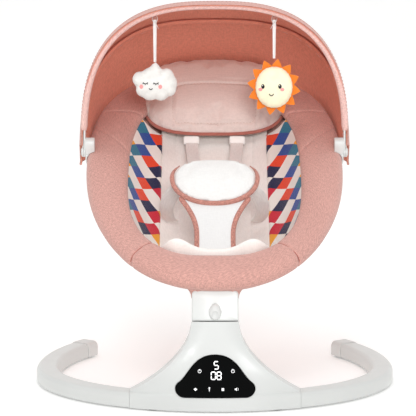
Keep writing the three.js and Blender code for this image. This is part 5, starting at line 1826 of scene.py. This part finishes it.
def thread_on(name, tree, line, thick, material, body):
    line = np.asarray(line, float)
    front = drawn_on(tree, stacked(line[:, 0], -60, line[:, 1]), (0, 1, 0))
    piece = tube(name, smooth(front - (0, 0.25, 0), 30), thick, thick, material, sides=8, ends=0.5)
    return place(piece, body, PATCH_SLOT[body])


def disc(x, z, wide, high, count=28):
    turn = full_turn(count)
    return np.stack([x + wide * np.cos(turn), z + high * np.sin(turn)], axis=1)


def arc(x, z, wide, deep, count=9):
    """A shallow arc that dips in its middle."""
    share = np.linspace(-1, 1, count)
    return np.stack([x + wide * share, z - deep * (1 - share**2)], axis=1)


CLOUD_LOBES = [(0, -1, 26, 14), (-23, 5.5, 13.5, 11.5), (-18.5, -10, 13, 11), (-8, -16.5, 12.5, 11),
               (9, -17, 12.5, 11), (21.5, -10, 12.5, 11), (23, 0, 12.5, 11), (17.5, 11.5, 12.5, 11),
               (-9, 12.5, 12.5, 10.5), (0, 17, 13, 9), (0, 25, 7.5, 6), (0, 29, 4.6, 4.4)]
CLOUD_Z = 449.5
SUN_Z = 442.5
FACE_TURN = 6.5  # the toys hang turned a little to their right


def make_cloud():
    lobes = [(x - TOY_X, z + CLOUD_Z, radius, thick) for x, z, radius, thick in CLOUD_LOBES]
    cloud = blob("cloud_plush_body", lobes, PLUSH_WHITE)
    moved(cloud, (0, TOY_Y, 0))
    puffed(cloud, 0.0024, 0.002)
    place(cloud, "toy_left", "plush_white", "cloud_toy")
    tree = surface_tree(cloud)
    x, z = -TOY_X, CLOUD_Z
    for word, side in SIDES:
        eye = x + side * 8.4 - FACE_TURN
        lid = arc(eye, z + 1.6, 3.9, 2.2)
        thread_on(f"cloud_eye_{word}", tree, lid, 0.7, INK, "toy_left")
        for k, slant in enumerate((-0.95, -0.1, 0.8)):
            root = np.array([eye + 3.0 * slant, z + 1.4 - 2.0 * (1 - slant**2)])
            lash = np.array([root, root + (0.9 * slant, -1.3), root + (1.7 * slant, -2.1)])
            thread_on(f"cloud_lash_{word}_{k}", tree, lash, 0.5, INK, "toy_left")
        cheek = disc(x + side * 15 - FACE_TURN, z - 5.2, 3.0, 3.4)
        patch_on(f"cloud_cheek_{word}", tree, cheek, CHEEK, "toy_left")
    thread_on("cloud_smile", tree, arc(x - FACE_TURN, z - 7.6, 2.8, 2.0), 0.7, INK, "toy_left")


def make_sun():
    turn = full_turn(96)
    reach = np.linspace(0.02, math.pi - 0.02, 60)
    rings = []
    for a in reach:
        size = math.sin(a) ** 0.92
        rings.append(stacked(TOY_X + 30 * size * np.cos(turn), TOY_Y - 13 * signed_power(math.cos(a), 0.9),
                             SUN_Z + 33.5 * size * np.sin(turn)))
    face = loft("sun_plush_face", np.array(rings), PLUSH_CREAM)
    puffed(face, 0.004, 0.002)
    points = vertex_array(face)
    angle = np.arctan2(points[:, 2] - SUN_Z / 1000, points[:, 0] - TOY_X / 1000)
    pucker = 1 + 0.006 * np.cos(26 * angle) + 0.004 * np.cos(41 * angle + 1)
    edge = np.exp(-(((points[:, 1] - (TOY_Y + SHIFT_Y) / 1000) / 0.004) ** 2))
    centre = np.array([TOY_X, 0, SUN_Z]) / 1000
    scale = 1 + (pucker - 1) * edge
    points[:, 0] = centre[0] + (points[:, 0] - centre[0]) * scale
    points[:, 2] = centre[2] + (points[:, 2] - centre[2]) * scale
    set_vertices(face, points)
    place(face, "toy_right", "plush_cream", "sun_toy")
    make_rays()
    tree = surface_tree(face)
    x, z = TOY_X - 4.5, SUN_Z - 1
    for word, side in SIDES:
        patch_on(f"sun_eye_{word}", tree, disc(x + side * 13.4, z + 3.2, 2.7, 3.6), INK, "toy_right", 0.9)
        shine = disc(x + side * 13.4 - 0.6, z + 4.6, 0.8, 0.9, 12)
        patch_on(f"sun_eye_shine_{word}", tree, shine, PLUSH_WHITE, "toy_right", 1.1)
        patch_on(f"sun_cheek_{word}", tree, disc(x + side * 17.2, z - 1.8, 3.2, 2.7), CHEEK, "toy_right")
    thread_on("sun_smile", tree, arc(x, z - 8.4, 3.6, 3.0), 0.75, INK, "toy_right")


def make_rays():
    """A felt star behind the sun's face: twelve triangles, each slightly bent."""
    rays, per_side = 12, 5
    reach_in, points = 0.745, []
    for k in range(rays):
        for turn, reach in ((0.0, reach_in), (0.5, 1.0)):
            for step in range(per_side):
                share = step / per_side
                following = 1.0 if turn == 0 else reach_in
                size = reach + (following - reach) * share
                angle = 2 * math.pi * (k + turn + 0.5 * share + 0.22) / rays
                points.append((size * math.cos(angle), size * math.sin(angle), size, k))
    points = np.array(points)
    rings = []
    for share in np.linspace(0.62, 1, 10):
        x, z = 42.5 * points[:, 0] * share, 45 * points[:, 1] * share
        bend = 1.6 * np.sin(points[:, 3] * 2.4 + 0.6) * np.clip(share * points[:, 2] - 0.7, 0, 1) / 0.3
        rings.append(np.stack([TOY_X + x, TOY_Y + 6.2 + bend, SUN_Z + z], axis=1))
    front = np.array(rings)
    body = np.concatenate([front - (0, 1.2, 0), (front + (0, 1.2, 0))[::-1]])
    rays_piece = loft("sun_felt_rays", body, FELT, loops=True, sharp_deg=35)
    place(rays_piece, "toy_right", "felt_orange", "sun_rays")
    stitched = front[3]
    seam = stitches("sun_ray_stitching", evenly(stitched - (0, 1.5, 0), 300, closed=True), FELT, closed=True)
    place(seam, "toy_right", "felt_orange")


def make_loops():
    """Fabric loops sewn to the front bow's binding, and each ribbon's eye with its short tail."""
    turn = np.linspace(0, 2 * math.pi, 48, endpoint=False)
    fall = np.linspace(0, 1, 14)
    for word, side in SIDES:
        x = side * TOY_X
        path = stacked(x, TOY_Y + 4.2 * np.sin(turn), LOOP_Z + 2 + 7.4 * np.cos(turn))
        loop = tube(f"toy_fabric_loop_{word}", path, 2.6, 0.75, TRIM, closed=True, lead=(1, 0, 0), sides=14)
        place(loop, "canopy_front", "rim_fabric", f"toy_loop_{word}")
        path = stacked(x + 4.0 * np.sin(turn), TOY_Y, LOOP_Z - 5.4 + 5.6 * np.cos(turn))
        eye = tube(f"toy_ribbon_eye_{word}", path, 2.5, 0.5, RIBBON, closed=True, lead=(0, 1, 0), sides=12)
        place(eye, f"toy_{word}", "webbing")
        away, back = side * (1.0 + 4.6 * fall), 1.2 + 1.0 * np.sin(3 * fall)
        path = stacked(x - away, TOY_Y - back, LOOP_Z - 11 - 9.5 * fall)
        tail = tube(f"toy_ribbon_tail_{word}", path, 2.5, 0.45, RIBBON, lead=(0, 1, 0), sides=12, ends=0.9)
        place(tail, f"toy_{word}", "webbing")


# ---------------------------------------------------------------- CAD nodes that stay: better materials

STAYING = {
    "base_bottom_plate": WHITE_TRIM, "control_board": BOARD, "speaker": RUBBER, "power_inlet": DARK_PLASTIC,
    "sector_gear": GEAR_NYLON, "motor_pinion": STEEL, "drive_motor": STEEL, "drive_bracket": STEEL,
    "upper_bearing": STEEL, "lower_bearing": STEEL, "swing_shaft": STEEL, "recline_pin": STEEL,
    "seat_ring": STEEL, "seat_bracket": WHITE_TRIM, "harness_buckle": WHITE_TRIM, "buckle_button": PLAIN,
    "canopy_front_bow": WHITE_TRIM, "canopy_mid_bow": WHITE_TRIM,
}


def dress_cad_nodes():
    for name, material in STAYING.items():
        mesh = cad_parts[name].data
        mesh.materials.clear()
        mesh.materials.append(material)


set_view()
make_camera()
make_stage()
make_toy_ribbons()
make_base_tubes()
make_feet()
make_housing()
make_panel_marks()
make_head()
make_latch()
make_rim()
liner = make_liner()
make_wings()
make_sling()
make_boot()
make_pillow([liner] + [bpy.data.objects[f"rim_cover_{word}"] for word in ("head", "left", "right")])
make_harness()
make_straps()
make_canopy()
make_clips()
make_loops()
make_cloud()
make_sun()
dress_cad_nodes()
